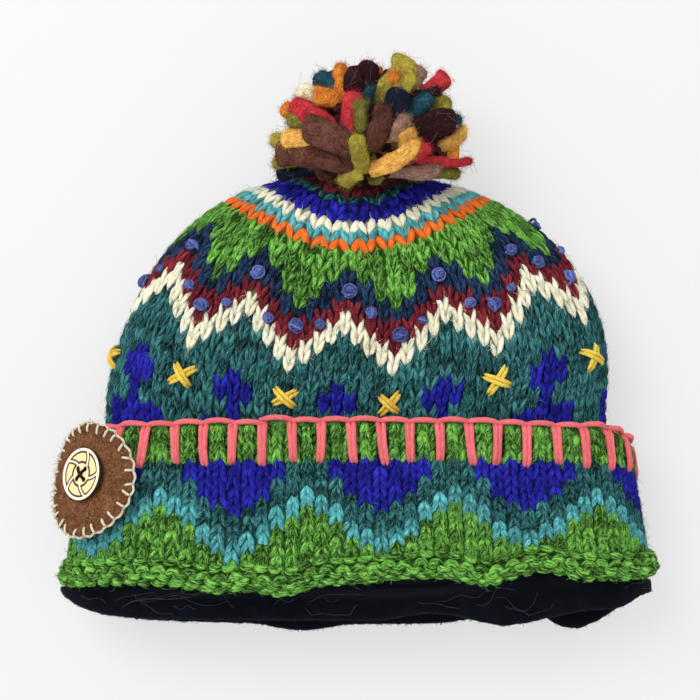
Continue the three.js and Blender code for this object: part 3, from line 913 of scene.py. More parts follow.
class Nodes:
    """A material with its node tree, and short ways to add and link nodes."""

    def __init__(self, name):
        self.material = bpy.data.materials.new(name)
        self.material.use_nodes = True
        self.tree = self.material.node_tree
        self.shader = self.tree.nodes["Principled BSDF"]

    def fill(self, socket, value):
        if isinstance(value, bpy.types.NodeSocket):
            self.tree.links.new(value, socket)
        else:
            socket.default_value = value

    def add(self, kind, inputs=None, **settings):
        node = self.tree.nodes.new(kind)
        for key, value in settings.items():
            setattr(node, key, value)
        for key, value in (inputs or {}).items():
            self.fill(node.inputs[key], value)
        return node

    def set(self, **sockets):
        for key, value in sockets.items():
            self.fill(self.shader.inputs[key.replace("_", " ")], value)

    def place(self):
        return self.add("ShaderNodeTexCoord").outputs["Object"]

    def attribute(self, name, output):
        return self.add("ShaderNodeAttribute", attribute_name=name).outputs[output]

    def yarn_map(self):
        """How far around and along the yarn."""
        yarn = self.add("ShaderNodeUVMap", uv_map="Yarn").outputs["UV"]
        return self.add("ShaderNodeSeparateXYZ", {0: yarn}).outputs[:2]

    def times(self, value, factor):
        return self.add("ShaderNodeMath", {0: value, 1: factor}, operation="MULTIPLY").outputs[0]

    def blend(self, a, a_share, b, b_share):
        """Two values, each times its share, added up."""
        parts = {0: self.times(a, a_share), 1: self.times(b, b_share)}
        return self.add("ShaderNodeMath", parts, operation="ADD").outputs[0]

    def vector(self, x, y, z):
        return self.add("ShaderNodeCombineXYZ", {0: x, 1: y, 2: z}).outputs[0]

    def noise(self, vector, scale, detail=3.0, roughness=0.6, distortion=0.0):
        settings = {"Vector": vector, "Scale": scale, "Detail": detail, "Roughness": roughness}
        settings["Distortion"] = distortion
        return self.add("ShaderNodeTexNoise", settings).outputs["Fac"]

    def ramp(self, factor, places, colours):
        node = self.add("ShaderNodeValToRGB", {"Fac": factor})
        elements = node.color_ramp.elements
        while len(elements) < len(places):
            elements.new(0.5)
        for element, place, colour in zip(elements, places, colours):
            element.position = place
            element.color = colour
        return node.outputs["Color"]

    def bump(self, height, strength, distance):
        inputs = {"Height": height, "Strength": strength, "Distance": distance * MM}
        return self.add("ShaderNodeBump", inputs).outputs[0]

    def cloth(self, base, roughness, specular, sheen):
        """The matt sheen of wool."""
        self.set(Roughness=roughness, Specular_IOR_Level=specular)
        self.set(Sheen_Weight=sheen, Sheen_Roughness=0.5, Sheen_Tint=shade(base, 1.5))


def shades(base, dark, pale):
    """A colour between a darker and a paler shade of it."""
    return shade(base, dark), base, shade(base, pale)


def wool(name, colour, heather):
    """Spun wool: streaks of fibre along the yarn in lighter and darker shades that change by stitch."""
    n = Nodes(name)
    base = linear(colour)
    around, along = n.yarn_map()
    tone = n.attribute("tone", "Fac")
    twisted = n.times(n.blend(around, 2.0, along, 0.4), 1.9)
    fibre = n.noise(n.vector(twisted, along, n.times(tone, 40.0)), 3.2, 6.0, 0.72)
    tints = shades(base, 1 - 0.9 * heather, 1 + 1.6 * heather)
    streaks = n.ramp(n.blend(fibre, 0.9, tone, 0.1), (0.42, 0.5, 0.585), tints)
    n.set(Base_Color=streaks, Normal=n.bump(fibre, 1.0, 1.3))
    n.cloth(base, 0.92, 0.1, 0.12)
    return n.material


def felt(name, code, mottle=0.55, streak=0.5):
    """Felted wool: soft mottling, matted fibres and streaks along a strip's own length."""
    n = Nodes(name)
    base = linear(code)
    place = n.place()
    cloud = n.noise(place, 190.0)
    fine = n.noise(place, 1100.0, 4.0, 0.75)
    tone = n.attribute("tone", "Fac")
    around, along = n.yarn_map()
    lengthwise = n.vector(n.times(around, 44.0), n.times(along, 9.0), n.times(tone, 40.0))
    combed = n.noise(lengthwise, 1.0, 4.0, 0.75, 1.4)
    matted = n.blend(fine, 1 - streak, combed, streak)
    toned = n.blend(n.blend(matted, 0.75, cloud, 0.25), 1.0, tone, 0.1)
    colour = n.ramp(toned, (0.47, 0.55, 0.64), shades(base, 1 - mottle, 1 + 1.4 * mottle))
    n.set(Base_Color=colour, Normal=n.bump(matted, 1.0, 1.0))
    n.cloth(base, 0.95, 0.06, 0.15)
    return n.material


def fleece(name, code):
    """Brushed near-black fleece with a short nap."""
    n = Nodes(name)
    place = n.place()
    nap = n.noise(place, 1300.0, 4.0, 0.8)
    brushed = n.noise(place, 120.0)
    colour = n.ramp(n.blend(nap, 0.6, brushed, 0.4), (0.3, 0.5, 0.75), shades(linear(code), 0.6, 2.2))
    n.set(Base_Color=colour, Normal=n.bump(nap, 0.9, 0.8), Roughness=1.0, Specular_IOR_Level=0.05)
    n.set(Sheen_Weight=0.12, Sheen_Roughness=0.35, Sheen_Tint=(0.5, 0.55, 0.7, 1))
    return n.material


def backing(name):
    """The knitting's inner face: each stitch's own colour, darkened as painted shade in the gaps between
    stitches, with rows of purl bumps.
    """
    n = Nodes(name)
    tint = n.attribute("tint", "Color")
    waves = {"Vector": n.place(), "Scale": 70.0, "Distortion": 6.0, "Detail": 2.0, "Detail Scale": 3.0}
    purl = n.add("ShaderNodeTexWave", waves, bands_direction="Y").outputs["Fac"]
    n.set(Base_Color=tint, Normal=n.bump(purl, 0.8, 1.2), Roughness=0.95, Specular_IOR_Level=0.1)
    return n.material


def printed_wood(name):
    """The button's face: pale rim, yellower petals and burnt lines, picked out by tone, with the same dark
    brown as painted shade on its wall and in its holes.
    """
    n = Nodes(name)
    tone = n.attribute("tone", "Fac")
    grain = n.noise(n.place(), 500.0)
    inks = [linear(code) for code in (BUTTON_CREAM, BUTTON_YELLOW, BUTTON_YELLOW, BUTTON_BROWN)]
    colour = n.ramp(n.blend(tone, 1.0, grain, 0.16), (0.16, 0.42, 0.68, 0.86), inks)
    n.set(Base_Color=colour, Normal=n.bump(grain, 0.25, 0.3))
    n.set(Roughness=0.42, Coat_Weight=0.25, Coat_Roughness=0.3)
    return n.material


WOOLS = {y["letter"]: wool(f"wool_{y['name']}", y["colour"], y["heather"]) for y in YARNS}
SEWING_WOOLS = {y["name"]: wool(**y) for y in SEWING_YARNS}
FELTS = {name: felt(f"felt_{name}", code) for name, code in FELT_COLOURS.items()}
BACKING = backing("knit_backing")


# Knitting


def stitch_legs(surface, turn, rise, turn_step, rise_step, upside_down):
    """Centre lines, normals and radii of both legs of each stitch, read off a surface."""
    each = (len(turn), 1)
    flip = -1 if upside_down else 1
    start = rise + rise_step if upside_down else rise
    along, across, depth, size = columns(LEG)
    left, _ = surface.sample(rise + rise_step / 2, turn - turn_step / 2)
    right, _ = surface.sample(rise + rise_step / 2, turn + turn_step / 2)
    full = LEG_RADIUS * np.linalg.norm(right - left, axis=-1)[:, None]
    legs = []
    for hand in (-1, 1):
        wander = rng.normal(0, 0.03, each)
        lean = rng.normal(1, 0.18, each)
        at_turn = turn[:, None] + turn_step[:, None] * (hand * across * lean + wander)
        at_rise = start[:, None] + flip * rise_step[:, None] * (along + rng.normal(0, 0.05, each))
        places, outward = surface.sample(at_rise, at_turn)
        sink = full * (0.9 + depth + rng.normal(0, 0.07, each))
        radius = full * size * rng.normal(1, 0.09, each)
        legs.append((places - outward * sink[..., None], outward, radius))
    return [np.concatenate(part) for part in zip(*legs)]


def crown_stitches():
    """Turn, row and step of every stitch of the crown, with its chart letter."""
    for down, line in enumerate(CROWN_CHART):
        row = CROWN_CHART_TOP - down
        in_repeat = [count for low, count in CROWN_STITCHES if row >= low][-1]
        step = 1 / (CROWN_REPEATS * in_repeat)
        for i in range(CROWN_REPEATS * in_repeat):
            column = int(i / in_repeat * CROWN_REPEAT_STITCHES + 0.5)
            yield CROWN_PHASE + i * step, row, step, line[column % len(line)]


def cuff_stitches():
    """The same for the cuff."""
    step = 1 / CUFF_STITCHES
    for row, line in enumerate(reversed(CUFF_CHART)):
        for i in range(CUFF_STITCHES):
            yield CUFF_PHASE + i * step, row, step, line[i % len(line)]


def yarn_with_fuzz(lines, normals, radii, sides, tones, per_line, length):
    """Yarn along lines, with loose fibres lying along it and standing off it from random places."""
    yarn = tubes(lines, normals, radii, radii * YARN_FLATNESS, sides, tones=tones)
    count = int(len(lines) * per_line)
    line = rng.integers(0, len(lines), count)
    station = rng.integers(1, lines.shape[1] - 2, count)
    out = normals[line, station]
    radius = radii[line, station][:, None]
    forward = unit(lines[line, station + 1] - lines[line, station - 1])
    roots = lines[line, station] + out * radius * 0.85
    roots = roots + np.cross(out, forward) * radius * rng.uniform(-0.7, 0.7, count)[:, None]
    headings = forward * rng.choice((-1, 1), (count, 1)) + rng.normal(0, 0.55, (count, 3))
    return joined([yarn, fuzz(YARN_FUZZ, roots, out, headings, length)])


def knit(zone, surface, stitches, rise_of, upside_down):
    """One piece for each yarn colour of a zone, and the middle of each stitch with its letter."""
    turn, row, step, letters = (np.array(part) for part in zip(*stitches))
    rise = rise_of(row)
    rise_step = rise_of(row + 1) - rise
    middles, _ = surface.sample(rise + rise_step / 2, turn)
    turn = turn + step * rng.normal(0, 0.03, len(turn))
    shown = upside_down | (middles[:, 1] > CUFF_TOP_Y - HIDDEN_BELOW_CUFF_TOP)
    names = {yarn["letter"]: yarn["name"] for yarn in YARNS}
    pieces = []
    for letter in sorted(set(letters)):
        pick = (letters == letter) & shown
        legs = stitch_legs(surface, turn[pick], rise[pick], step[pick], rise_step[pick], upside_down)
        tones = np.tile(rng.uniform(0, 1, pick.sum()), 2)
        shape = yarn_with_fuzz(*legs, LEG_SIDES, tones, **LEG_FIBRES)
        pieces.append(make_piece(f"{zone}_{names[letter]}", shape, WOOLS[letter]))
    return pieces, middles, letters


crown_face = crown_surface()
crown_knit, crown_middles, crown_letters = knit(
    "crown_knit", crown_face, crown_stitches(), crown_rise, False
)
cuff_face = cuff_surface()
cuff_knit, cuff_middles, cuff_letters = knit(
    "cuff_knit", cuff_face, cuff_stitches(), lambda row: row / CUFF_ROWS, True
)


# Garter rows at the hem and along the cuff's cast-off edge


def purl_row(surface, rise, odd, row_step, radius, sink):
    """One round of purl bumps lying along a surface. Odd rounds arch down and lie half a stitch on."""
    each = (CUFF_STITCHES, 1)
    turn = (np.arange(CUFF_STITCHES) + 0.5 * odd) / CUFF_STITCHES
    turn = turn + rng.normal(0, 0.06, CUFF_STITCHES) / CUFF_STITCHES
    size = radius * rng.normal(1, 0.08, each)
    along, arch, lift, sizes = columns(BUMP)
    tilt = rng.normal(0, 0.12, each) * along
    at_rise = rise + row_step * (arch * (1 - 2 * odd) + tilt + rng.normal(0, 0.08, each))
    places, outward = surface.sample(at_rise, turn[:, None] + along / CUFF_STITCHES)
    return places + outward * (size * (lift - sink))[..., None], outward, size * sizes


def garter(name, surface, rises, bumps):
    """A piece of purl rounds, one at each rise of a surface."""
    rows = [purl_row(surface, rise, i % 2, **bumps) for i, rise in enumerate(rises)]
    lines, normals, radii = (np.concatenate(part) for part in zip(*rows))
    tones = rng.uniform(0, 1, len(lines))
    shape = yarn_with_fuzz(lines, normals, radii, BUMP_SIDES, tones, **BUMP_FIBRES)
    return make_piece(name, shape, WOOLS["G"])


hem_knit = garter("hem_garter", hem_surface(), HEM_RISES, HEM_BUMPS)
cast_off = garter("cuff_cast_off", cuff_face, [1.0], CAST_OFF_BUMPS)


# Inner face of the knitting


def stitch_tints(points, middles, letters):
    """The colour of the nearest stitch at each point, darkened as painted shade."""
    tree = kdtree.KDTree(len(middles))
    for i, place in enumerate(middles):
        tree.insert(Vector(place), i)
    tree.balance()
    colours = {y["letter"]: shade(linear(y["colour"]), BACKING_PAINTED_SHADE) for y in YARNS}
    return np.array([colours[letters[tree.find(Vector(p))[1]]] for p in points])


def paint(piece, tints):
    """A colour on each point of a piece."""
    layer = piece.data.attributes.new("tint", "FLOAT_COLOR", "POINT")
    layer.data.foreach_set("color", tints.astype(np.float32).ravel())


def crown_wall_side(inset, covered_inset):
    """Rings of one face of the crown's wall, from its hem to near its top, taken in apart under the cuff."""
    straight = np.linspace(CROWN_HEM_Y, SHOULDER_Y, 14)
    closing = np.sin(np.linspace(0.06, 0.97, 26) * math.pi / 2)
    rings = []
    for y in np.concatenate([straight, mix(SHOULDER_Y, CROWN_TOP_Y - inset, closing)]):
        bare = float(smooth_step(y, CUFF_TOP_Y - COVERED_FROM, CUFF_TOP_Y - BARE_FROM))
        ring = ring3(crown_section(y, mix(covered_inset, inset, bare)), y, BACKING_TURNS["crown"])
        ring[:, 1] += inner_rise(ring[:, 0], y)
        rings.append(ring)
    return rings


def crown_backing():
    """A closed wall from under the stitches to the hat's inside."""
    inner = crown_wall_side(KNIT_WALL, KNIT_WALL)
    outer = crown_wall_side(STITCH_DEPTH, COVERED_DEPTH)
    poles = [(0, CROWN_TOP_Y - inset, WIDEST_HIGH) for inset in (KNIT_WALL, STITCH_DEPTH)]
    shape = loft(np.stack(inner[::-1] + outer), poles)
    piece = make_piece("crown_backing", shape, BACKING, ["crown"])
    tints = stitch_tints(shape.points, crown_middles, crown_letters)
    # Below the hem band the backing is painted fleece black: painted shade between the hem and the lining
    tints[shape.points[:, 1] < HEM_BAND_TOP_Y] = linear(FLEECE)
    paint(piece, tints)
    return piece


def cuff_backing():
    """The cuff's wall, under its stitches outside, plain knitting inside and folded in to the crown."""
    rings = [shaped_cuff_ring(row["y"], row["out"], BACKING_TURNS["cuff"]) for row in CUFF_COURSE]
    shape = loft(np.stack(rings), wrap=True)
    piece = make_piece("cuff_backing", shape, BACKING, ["cuff"])
    paint(piece, stitch_tints(shape.points, cuff_middles, cuff_letters))
    return piece


crown_inside = crown_backing()
cuff_inside = cuff_backing()


# Embroidery


def strands(lines, ups, radius, profile, around=7, length=1.0):
    """Strands of yarn along lines, each with a tone of its own."""
    lines = np.asarray(lines)
    widths = radius * np.broadcast_to(profile, lines.shape[:2])
    tones = rng.uniform(0, 1, len(lines))
    return tubes(lines, np.broadcast_to(ups, lines.shape), widths, widths, around, length, tones)


def blanket_bars():
    """Two strands down from the cuff's edge at each bar of the blanket stitch."""
    each = (BARS, 1)
    turn = BAR_PHASE + np.arange(BARS)[:, None] / BARS
    down, lift, spread, size = columns(BAR)
    drift = rng.normal(0, 1.1, each)
    sway = rng.normal(0, 0.35, each) * np.sin(down * math.pi)
    reach = BAR_LENGTH / (CUFF_TOP_Y - HEM_TOP_Y) * rng.normal(1, 0.05, each)
    made = []
    for hand in (-1, 1):
        aside = hand * BAR_SPREAD * spread + drift * down + sway
        places, outward = cuff_face.sample(0.995 - reach * down, turn + aside / CUFF_TOP_ROUND)
        lines = places + outward * (lift + rng.normal(0, 0.15, each))[..., None]
        made.append(strands(lines, outward, BAR_RADIUS, size, length=3.0))
    return joined(made)


def blanket_edge():
    """The yarn along the cuff's edge, a length from each bar over the top of the next."""
    run = np.linspace(-0.12, 1.12, len(EDGE_SIZES))
    turn = BAR_PHASE + (np.arange(BARS)[:, None] + run) / BARS
    places, outward = cuff_face.sample(np.full_like(turn, 0.99), turn)
    bow = np.sin(np.clip(run, 0, 1) * math.pi)
    lift = 0.75 + 0.35 * bow + rng.normal(0, 0.12, (BARS, 1))
    lines = places + outward * lift[..., None]
    fall = 0.4 * np.linspace(0, 1, len(EDGE_SIZES))
    lines[..., 1] += 0.7 + 0.9 * bow - fall + rng.normal(0, 0.3, (BARS, 1))
    return strands(lines, outward, EDGE_YARN_RADIUS, EDGE_SIZES, length=3.0)


def crown_frame(row, turn):
    """A place on the crown with its direction across, along and outward."""
    rise, turn = np.array(crown_rise(row)), np.array(turn)
    place, outward = crown_face.sample(rise, turn)
    ahead, _ = crown_face.sample(rise, turn + 0.002)
    across = unit(ahead - place)
    return place, across, np.cross(outward, across), outward


def crosses():
    """A cross of two strokes, each of two strands, under every valley of the cream zigzag."""
    lines, ups = [], []
    reach, arch, size = (column[:, None] for column in columns(STROKE))
    for k in range(CROWN_REPEATS):
        row = CROSS_ROW + rng.normal(0, 0.25)
        place, across, along, outward = crown_frame(row, CROWN_PHASE + k / CROWN_REPEATS)
        for stroke, usual in enumerate(CROSS_ANGLES):
            angle = math.radians(rng.normal(usual, 9))
            way = across * math.cos(angle) + along * math.sin(angle)
            beside = along * math.cos(angle) - across * math.sin(angle)
            length = CROSS_REACH * rng.normal(1, 0.1)
            lift = outward * (arch + 1.1 * stroke * (1 - reach**2))
            for hand in (-1, 1):
                apart = beside * hand * (1.05 - 0.35 * np.abs(reach))
                lines.append(place + way * length * reach + apart + lift)
                ups.append([outward])
    return strands(lines, ups, CROSS_RADIUS, size[:, 0], length=2.0)


def knots():
    """French knots: yarn coiled up into a small full lump, with one strand drawn over its top."""
    coils, coil_ups, ties, tie_ups, fills, fill_sizes = [], [], [], [], [], []
    climb = np.linspace(0, 1, 26)[:, None]
    over = np.radians(np.linspace(-115, 115, 9))[:, None]
    shrink = 1.08 - 0.96 * climb**1.7
    for k in range(CROWN_REPEATS):
        for knot in KNOTS:
            column = k + knot["column"] / CROWN_REPEAT_STITCHES + rng.normal(0, 0.025)
            row = knot["row"] + rng.normal(0, 0.35)
            place, across, along, outward = crown_frame(row, CROWN_PHASE + column / CROWN_REPEATS)
            radius = knot["radius"] * rng.normal(1, 0.12)
            angle = rng.uniform(0, FULL_TURN) + FULL_TURN * KNOT_TURNS * climb
            lean = unit(outward + across * rng.normal(0, 0.25) + along * rng.normal(0, 0.25))
            ring = across * np.cos(angle) + along * np.sin(angle) * rng.uniform(0.75, 1.0)
            coils.append(place + radius * (ring * shrink + lean * (0.1 + 0.85 * climb**0.8)))
            coil_ups.append(unit(ring * shrink + outward * (0.4 + climb)))
            heading = rng.uniform(0, math.pi)
            way = across * math.cos(heading) + along * math.sin(heading)
            beside = np.cross(outward, way) * rng.normal(0, 0.3) * radius
            curve = way * np.sin(over) + lean * np.cos(over)
            ties.append(place + beside + curve * radius * 1.02)
            tie_ups.append(unit(curve))
            fills.append(place + radius * (way * np.linspace(-0.4, 0.4, 4)[:, None] + outward * 0.4))
            fill_sizes.append(radius * KNOT_FILL_SIZES)
    fill_ups = np.stack(coil_ups)[:, -1:]
    return joined(
        [
            strands(coils, coil_ups, KNOT_YARN, 1, 6, 6.0),
            strands(ties, tie_ups, KNOT_YARN, 1, 6, 2.0),
            strands(fills, fill_ups, 1.0, fill_sizes, 6, 2.0),
        ]
    )


pink_shape = joined([blanket_bars(), blanket_edge()])
pink_stitch = make_piece("blanket_stitch", pink_shape, SEWING_WOOLS["wool_pink"])
mustard_crosses = make_piece("crosses", crosses(), SEWING_WOOLS["wool_mustard"])
french_knots = make_piece("french_knots", knots(), SEWING_WOOLS["wool_periwinkle"])


# Felt patch, button and thread


def patch_frame():
    """The patch's origin on the cuff's rounded end and its axes across, along and outward."""
    s = cuff_section(PATCH_Y, 0)
    reach = s["top_end"]
    rise = s["high"] - s["crown"] - s["mid"]
    turn = math.radians(PATCH_TURN)
    tilt = math.radians(PATCH_TILT)
    place = math.atan2(rise * math.sin(turn), reach * math.cos(turn))
    x = s["centre"] - s["half"] + reach * (1 - math.cos(place))
    level = math.cos(tilt)
    outward = np.array([-math.cos(turn) * level, math.sin(tilt), math.sin(turn) * level])
    across = unit(np.cross([0, 1, 0], outward))
    origin = np.array([x, PATCH_Y, s["mid"] + rise * math.sin(place)]) + outward * PATCH_LIFT
    return origin, np.stack([across, np.cross(outward, across), outward])


PATCH_ORIGIN, PATCH_AXES = patch_frame()


def on_patch(radius, turn, z):
    """Points of the flat patch, bent round the cuff and set in place."""
    angle = radius * np.cos(turn) / PATCH_BEND_RADIUS
    reach = PATCH_BEND_RADIUS + z
    along = np.broadcast_to(radius * np.sin(turn), np.shape(reach * angle))
    local = [reach * np.sin(angle), along, reach * np.cos(angle) - PATCH_BEND_RADIUS]
    return PATCH_ORIGIN + np.stack(local, -1) @ PATCH_AXES


def patch_edge(turn):
    """The disc's radius, drawn in a little where each stitch pulls it."""
    return PATCH_RADIUS * (1 - 0.012 * np.cos(PATCH_STITCHES * turn) + 0.01 * np.sin(3 * turn + 1))


def felt_disc():
    """The patch from the middle of its underside round its edge to the middle of its face."""
    turn = turns_of(162)
    shares = np.concatenate([np.linspace(0.06, 0.92, 14), [0.97, 0.993]])
    edge = patch_edge(turn)
    pull = 0.5 + 0.5 * np.cos(PATCH_STITCHES * turn)
    under, over = [], []
    for share in shares:
        rim = 0.5 * smooth_step(share, 0.9, 1.0)
        dent = 0.5 * pull * smooth_step(share, 0.8, 0.95)
        under.append(on_patch(edge * share, turn, rim))
        over.append(on_patch(edge * share, turn, PATCH_THICK - rim - dent))
    over = np.stack(over[::-1])
    over += PATCH_AXES[2] * (0.22 * wobble(over, 0.5, 3))[..., None]
    middle = on_patch(edge, turn, PATCH_THICK * 0.45)
    return loft(np.concatenate([under, [middle], over]), [on_patch(0, 0, z) for z in (0, PATCH_THICK)])


def patch_stitches():
    """Cream blanket stitches: one spoke across the edge and one length along it for each stitch."""
    each = (PATCH_STITCHES, 1)
    first = turns_of(PATCH_STITCHES) + rng.normal(0, 0.025, PATCH_STITCHES)
    inward, lift, size = columns(SPOKE)
    depth = PATCH_STITCH_LENGTH * rng.normal(1, 0.12, each)
    turn = first[:, None] + rng.normal(0, 0.05, each) * inward
    spokes = on_patch(patch_edge(first)[:, None] - depth * inward, turn, PATCH_THICK + lift)
    run = np.linspace(-0.05, 1.05, 8)
    turn = first[:, None] + (np.roll(first, -1) - first)[:, None] % FULL_TURN * run
    bow = np.sin(np.clip(run, 0, 1) * math.pi)
    high = PATCH_THICK * (0.72 - 0.12 * bow) + rng.normal(0, 0.08, each)
    edge = on_patch(patch_edge(turn) + 0.3 + 0.15 * bow, turn, high)
    return joined(
        [
            strands(spokes, PATCH_AXES[2], PATCH_THREAD_RADIUS, size, 6, 2.0),
            strands(edge, PATCH_AXES[2], PATCH_THREAD_RADIUS, 1, 6, 3.0),
        ]
    )


def on_button(points):
    """Points of the button's own frame, set in place."""
    return PATCH_ORIGIN + (points + np.array([*BUTTON_SHIFT, PATCH_THICK + GAP])) @ PATCH_AXES


def button_pattern(radius, turn):
    """Tone of the button's face: 0 pale, 0.45 yellow, 1 burnt, for a hub in a ring of petals."""
    half_petal = math.pi / BUTTON_PETALS
    sweep = 0.9 * (radius / BUTTON_RADIUS - 0.4)
    spoke = np.mod(turn - sweep + 0.35, 2 * half_petal) - half_petal
    from_spoke = radius * (half_petal - np.abs(spoke)) - BUTTON_LINE / 2
    from_hub = radius - BUTTON_HUB
    from_rim = BUTTON_RADIUS - BUTTON_RIM - radius
    inside = np.minimum(np.minimum(from_spoke, from_hub), from_rim)
    petal = np.where(inside < BUTTON_LINE, 1.0, 0.45)
    return np.where(inside > 0, petal, np.where(from_hub < 0, 0.3, 0.0))


def button_holes():
    """Places of the four holes, in order round the button."""
    reach = BUTTON_HOLE_PITCH / 2
    return reach * np.array([(1, 1), (-1, 1), (-1, -1), (1, -1)])


def button_body():
    """The button from its back round its wall to its dished and printed face."""
    turn = turns_of(200)
    circle = np.stack([np.cos(turn), np.sin(turn)], -1)
    rings, tones = [], []

    def add_ring(radius, z, tone):
        rings.append(np.column_stack([radius * circle, z + 0 * turn]))
        tones.append(tone + 0 * turn)

    for row in BUTTON_WALL:
        add_ring(BUTTON_RADIUS - row["inset"], row["z"], row["tone"])
    for radius in np.linspace(BUTTON_RADIUS - BUTTON_RIM * 0.7, 0.25, 60):
        tone = button_pattern(radius, turn)
        dish = smooth_step(BUTTON_RADIUS - radius, BUTTON_RIM * 0.7, BUTTON_RIM * 1.1)
        z = BUTTON_THICK - BUTTON_DISH * dish - BUTTON_LINE_DEPTH * (tone > 0.9)
        for hole in button_holes():
            away = np.linalg.norm(radius * circle - hole, axis=1)
            z = np.where(away < BUTTON_HOLE_RADIUS, BUTTON_HOLE_FLOOR, z)
            # Dark brown in and round each hole: painted shade in the recess
            tone = np.where(away < BUTTON_HOLE_RADIUS + 0.2, 1.0, tone)
        add_ring(radius, z, tone)
    poles = on_button(np.array([[0, 0, 0], [0, 0, BUTTON_THICK - BUTTON_DISH]]))
    return loft(on_button(np.stack(rings)), poles, tone=np.stack(tones))


def button_threads():
    """Two crossed strands through the button's holes."""
    holes = button_holes()
    along, lift = columns(THREAD)
    z = BUTTON_THICK - BUTTON_DISH + lift
    lines = []
    for level in (0, 1):
        flat = mix(holes[level], holes[level + 2], along[:, None])
        lines.append(on_button(np.column_stack([flat, z + 0.4 * level * np.sin(along * math.pi)])))
    return strands(lines, PATCH_AXES[2] + 0.01 * PATCH_AXES[0], BUTTON_STRAND, 1, 8, 3.0)


def patch_fuzz():
    """Matted fibres on the felt disc."""
    turn = rng.uniform(0, FULL_TURN, PATCH_FIBRES)
    radius = PATCH_RADIUS * np.sqrt(rng.uniform(0, 1.02, PATCH_FIBRES))
    roots = on_patch(radius, turn, PATCH_THICK)
    headings = rng.normal(0, 1, (PATCH_FIBRES, 3))
    return fibres(roots, PATCH_AXES[2:], headings, 2.6, 0.18, 0.1, rng.uniform(-0.6, 1.9, PATCH_FIBRES))


BROWN_CLOTH = felt("felt_brown", BROWN_FELT, 0.5, 0.0)
CREAM_THREAD = SEWING_WOOLS["thread_cream"]
BROWN_THREAD = SEWING_WOOLS["thread_brown"]
BUTTON_WOOD = printed_wood("button_wood")
patch = make_piece("patch_felt", felt_disc(), BROWN_CLOTH, ["felt_patch"])
patch_nap = make_piece("patch_nap", patch_fuzz(), BROWN_CLOTH)
blanket_thread = make_piece("patch_stitches", patch_stitches(), CREAM_THREAD)
make_piece("button_face", button_body(), BUTTON_WOOD, ["button"])
make_piece("button_cross", button_threads(), BROWN_THREAD, ["button_thread"])


# Fleece lining


def lining_ring(y, inset):
    """A ring of the fleece band, which flares and droops where it leaves the hat."""
    section = crown_section(max(y, CROWN_HEM_Y), KNIT_WALL + GAP + inset)
    out = float(smooth_step(LINING_FLARE_FROM_Y - y, 0, LINING_FLARE_LENGTH))
    section["half"] += LINING_FLARE * out
    section["low"] = max(section["low"] - LINING_DROOP * out, inset)
    section["high"] -= LINING_DROOP * out
    ring = ring3(section, y)
    share = share_of(y, HEM_Y, LINING_EDGE_Y)
    corner = LINING_CORNER_RISE * np.abs(ring[:, 0] / section["half"]) ** LINING_CORNER_POWER
    ring[:, 1] += mix(inner_rise(ring[:, 0], y), corner - fold_drop(LINING_FOLDS, ring), share)
    return ring


def lining():
    """The fleece band's rings, outside from top to edge and inside back up, and their outward ways."""
    above = np.linspace(LINING_TOP_Y, LINING_FLARE_FROM_Y, 6)
    levels = np.concatenate([above, np.linspace(LINING_FLARE_FROM_Y - 1, LINING_EDGE_Y, 12)])
    rings = [lining_ring(y, 0) for y in levels]
    for lip in LINING_LIP:
        rings.append(lining_ring(LINING_EDGE_Y, FLEECE_WALL * lip["through"]) - (0, lip["past"], 0))
    rings += [lining_ring(y, FLEECE_WALL) for y in levels[::-2]]
    grid = np.stack(rings)
    outward = unit(grid * (0.1, 0, 1) - (0, 0, WIDEST_HIGH))
    nap = 0.5 * wobble(grid, 0.12, 5) + 0.3 * wobble(grid, 0.55, 6)
    shown = smooth_step(-grid[..., 1], 108, 114)
    grid = grid + outward * (nap * shown)[..., None]
    edge = len(levels) - 1
    grid[edge : edge + len(LINING_LIP) + 2, :, 1] += rng.normal(0, 0.15, GRID_TURNS)
    return grid, outward, edge


def fleece_fuzz(grid, outward, edge):
    """Short nap standing off the fleece below the hem, thickest along its edge."""
    count = FLEECE_FIBRES
    at_edge = rng.uniform(0, 1, count) < 0.5
    on_edge = rng.integers(edge, edge + 4, count)
    ring = np.where(at_edge, on_edge, rng.integers(FIRST_BARE_RING, edge + 1, count))
    turn = rng.integers(0, grid.shape[1], count)
    out = unit(outward[ring, turn] + (0, -0.6, 0) + rng.normal(0, 0.3, (count, 3)))
    headings = rng.normal(0, 0.8, (count, 3)) + (0, -0.4, 0)
    return fibres(grid[ring, turn], out, headings, 1.0, 0.22, 0.25, rng.uniform(0, 1, count))


def lint(grid, edge):
    """Pale loose hairs that lie curled on the fleece below the hem."""
    each = (LINT_HAIRS, 1)
    below_hem = Surface(grid[FIRST_BARE_RING:edge])
    wave = rng.uniform(0.15, 0.5, each) * np.arange(LINT_STEPS) + rng.uniform(0, 6.3, each)
    heading = rng.normal(0, 0.3, each) + rng.uniform(0.2, 1.0, each) * np.sin(wave)
    stride = rng.uniform(0.5, 1.6, each)
    turn = rng.uniform(0, 1, each) + np.cumsum(stride * np.cos(heading), 1) / CUFF_TOP_ROUND
    rise = rng.uniform(0.1, 0.9, each) + np.cumsum(stride * np.sin(heading), 1) / LINT_ZONE
    places, inward = below_hem.sample(0.5 + 0.48 * np.sin(2 * rise - 1), turn)
    widths = np.full(turn.shape, LINT_RADIUS)
    return tubes(places - inward * 0.35, -inward, widths, widths, 3)


lining_grid, lining_out, lining_edge = lining()
FLEECE_CLOTH = fleece("fleece_black", FLEECE)
LINT_WOOL = SEWING_WOOLS["lint_grey"]
lining_shape = loft(lining_grid, wrap=True)
lining_piece = make_piece("lining_fleece", lining_shape, FLEECE_CLOTH, ["lining"])
nap_shape = fleece_fuzz(lining_grid, lining_out, lining_edge)
lining_nap = make_piece("lining_nap", nap_shape, FLEECE_CLOTH)
lining_lint = make_piece("lining_lint", lint(lining_grid, lining_edge), LINT_WOOL)

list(crown_knit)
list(cuff_knit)


# Bobble


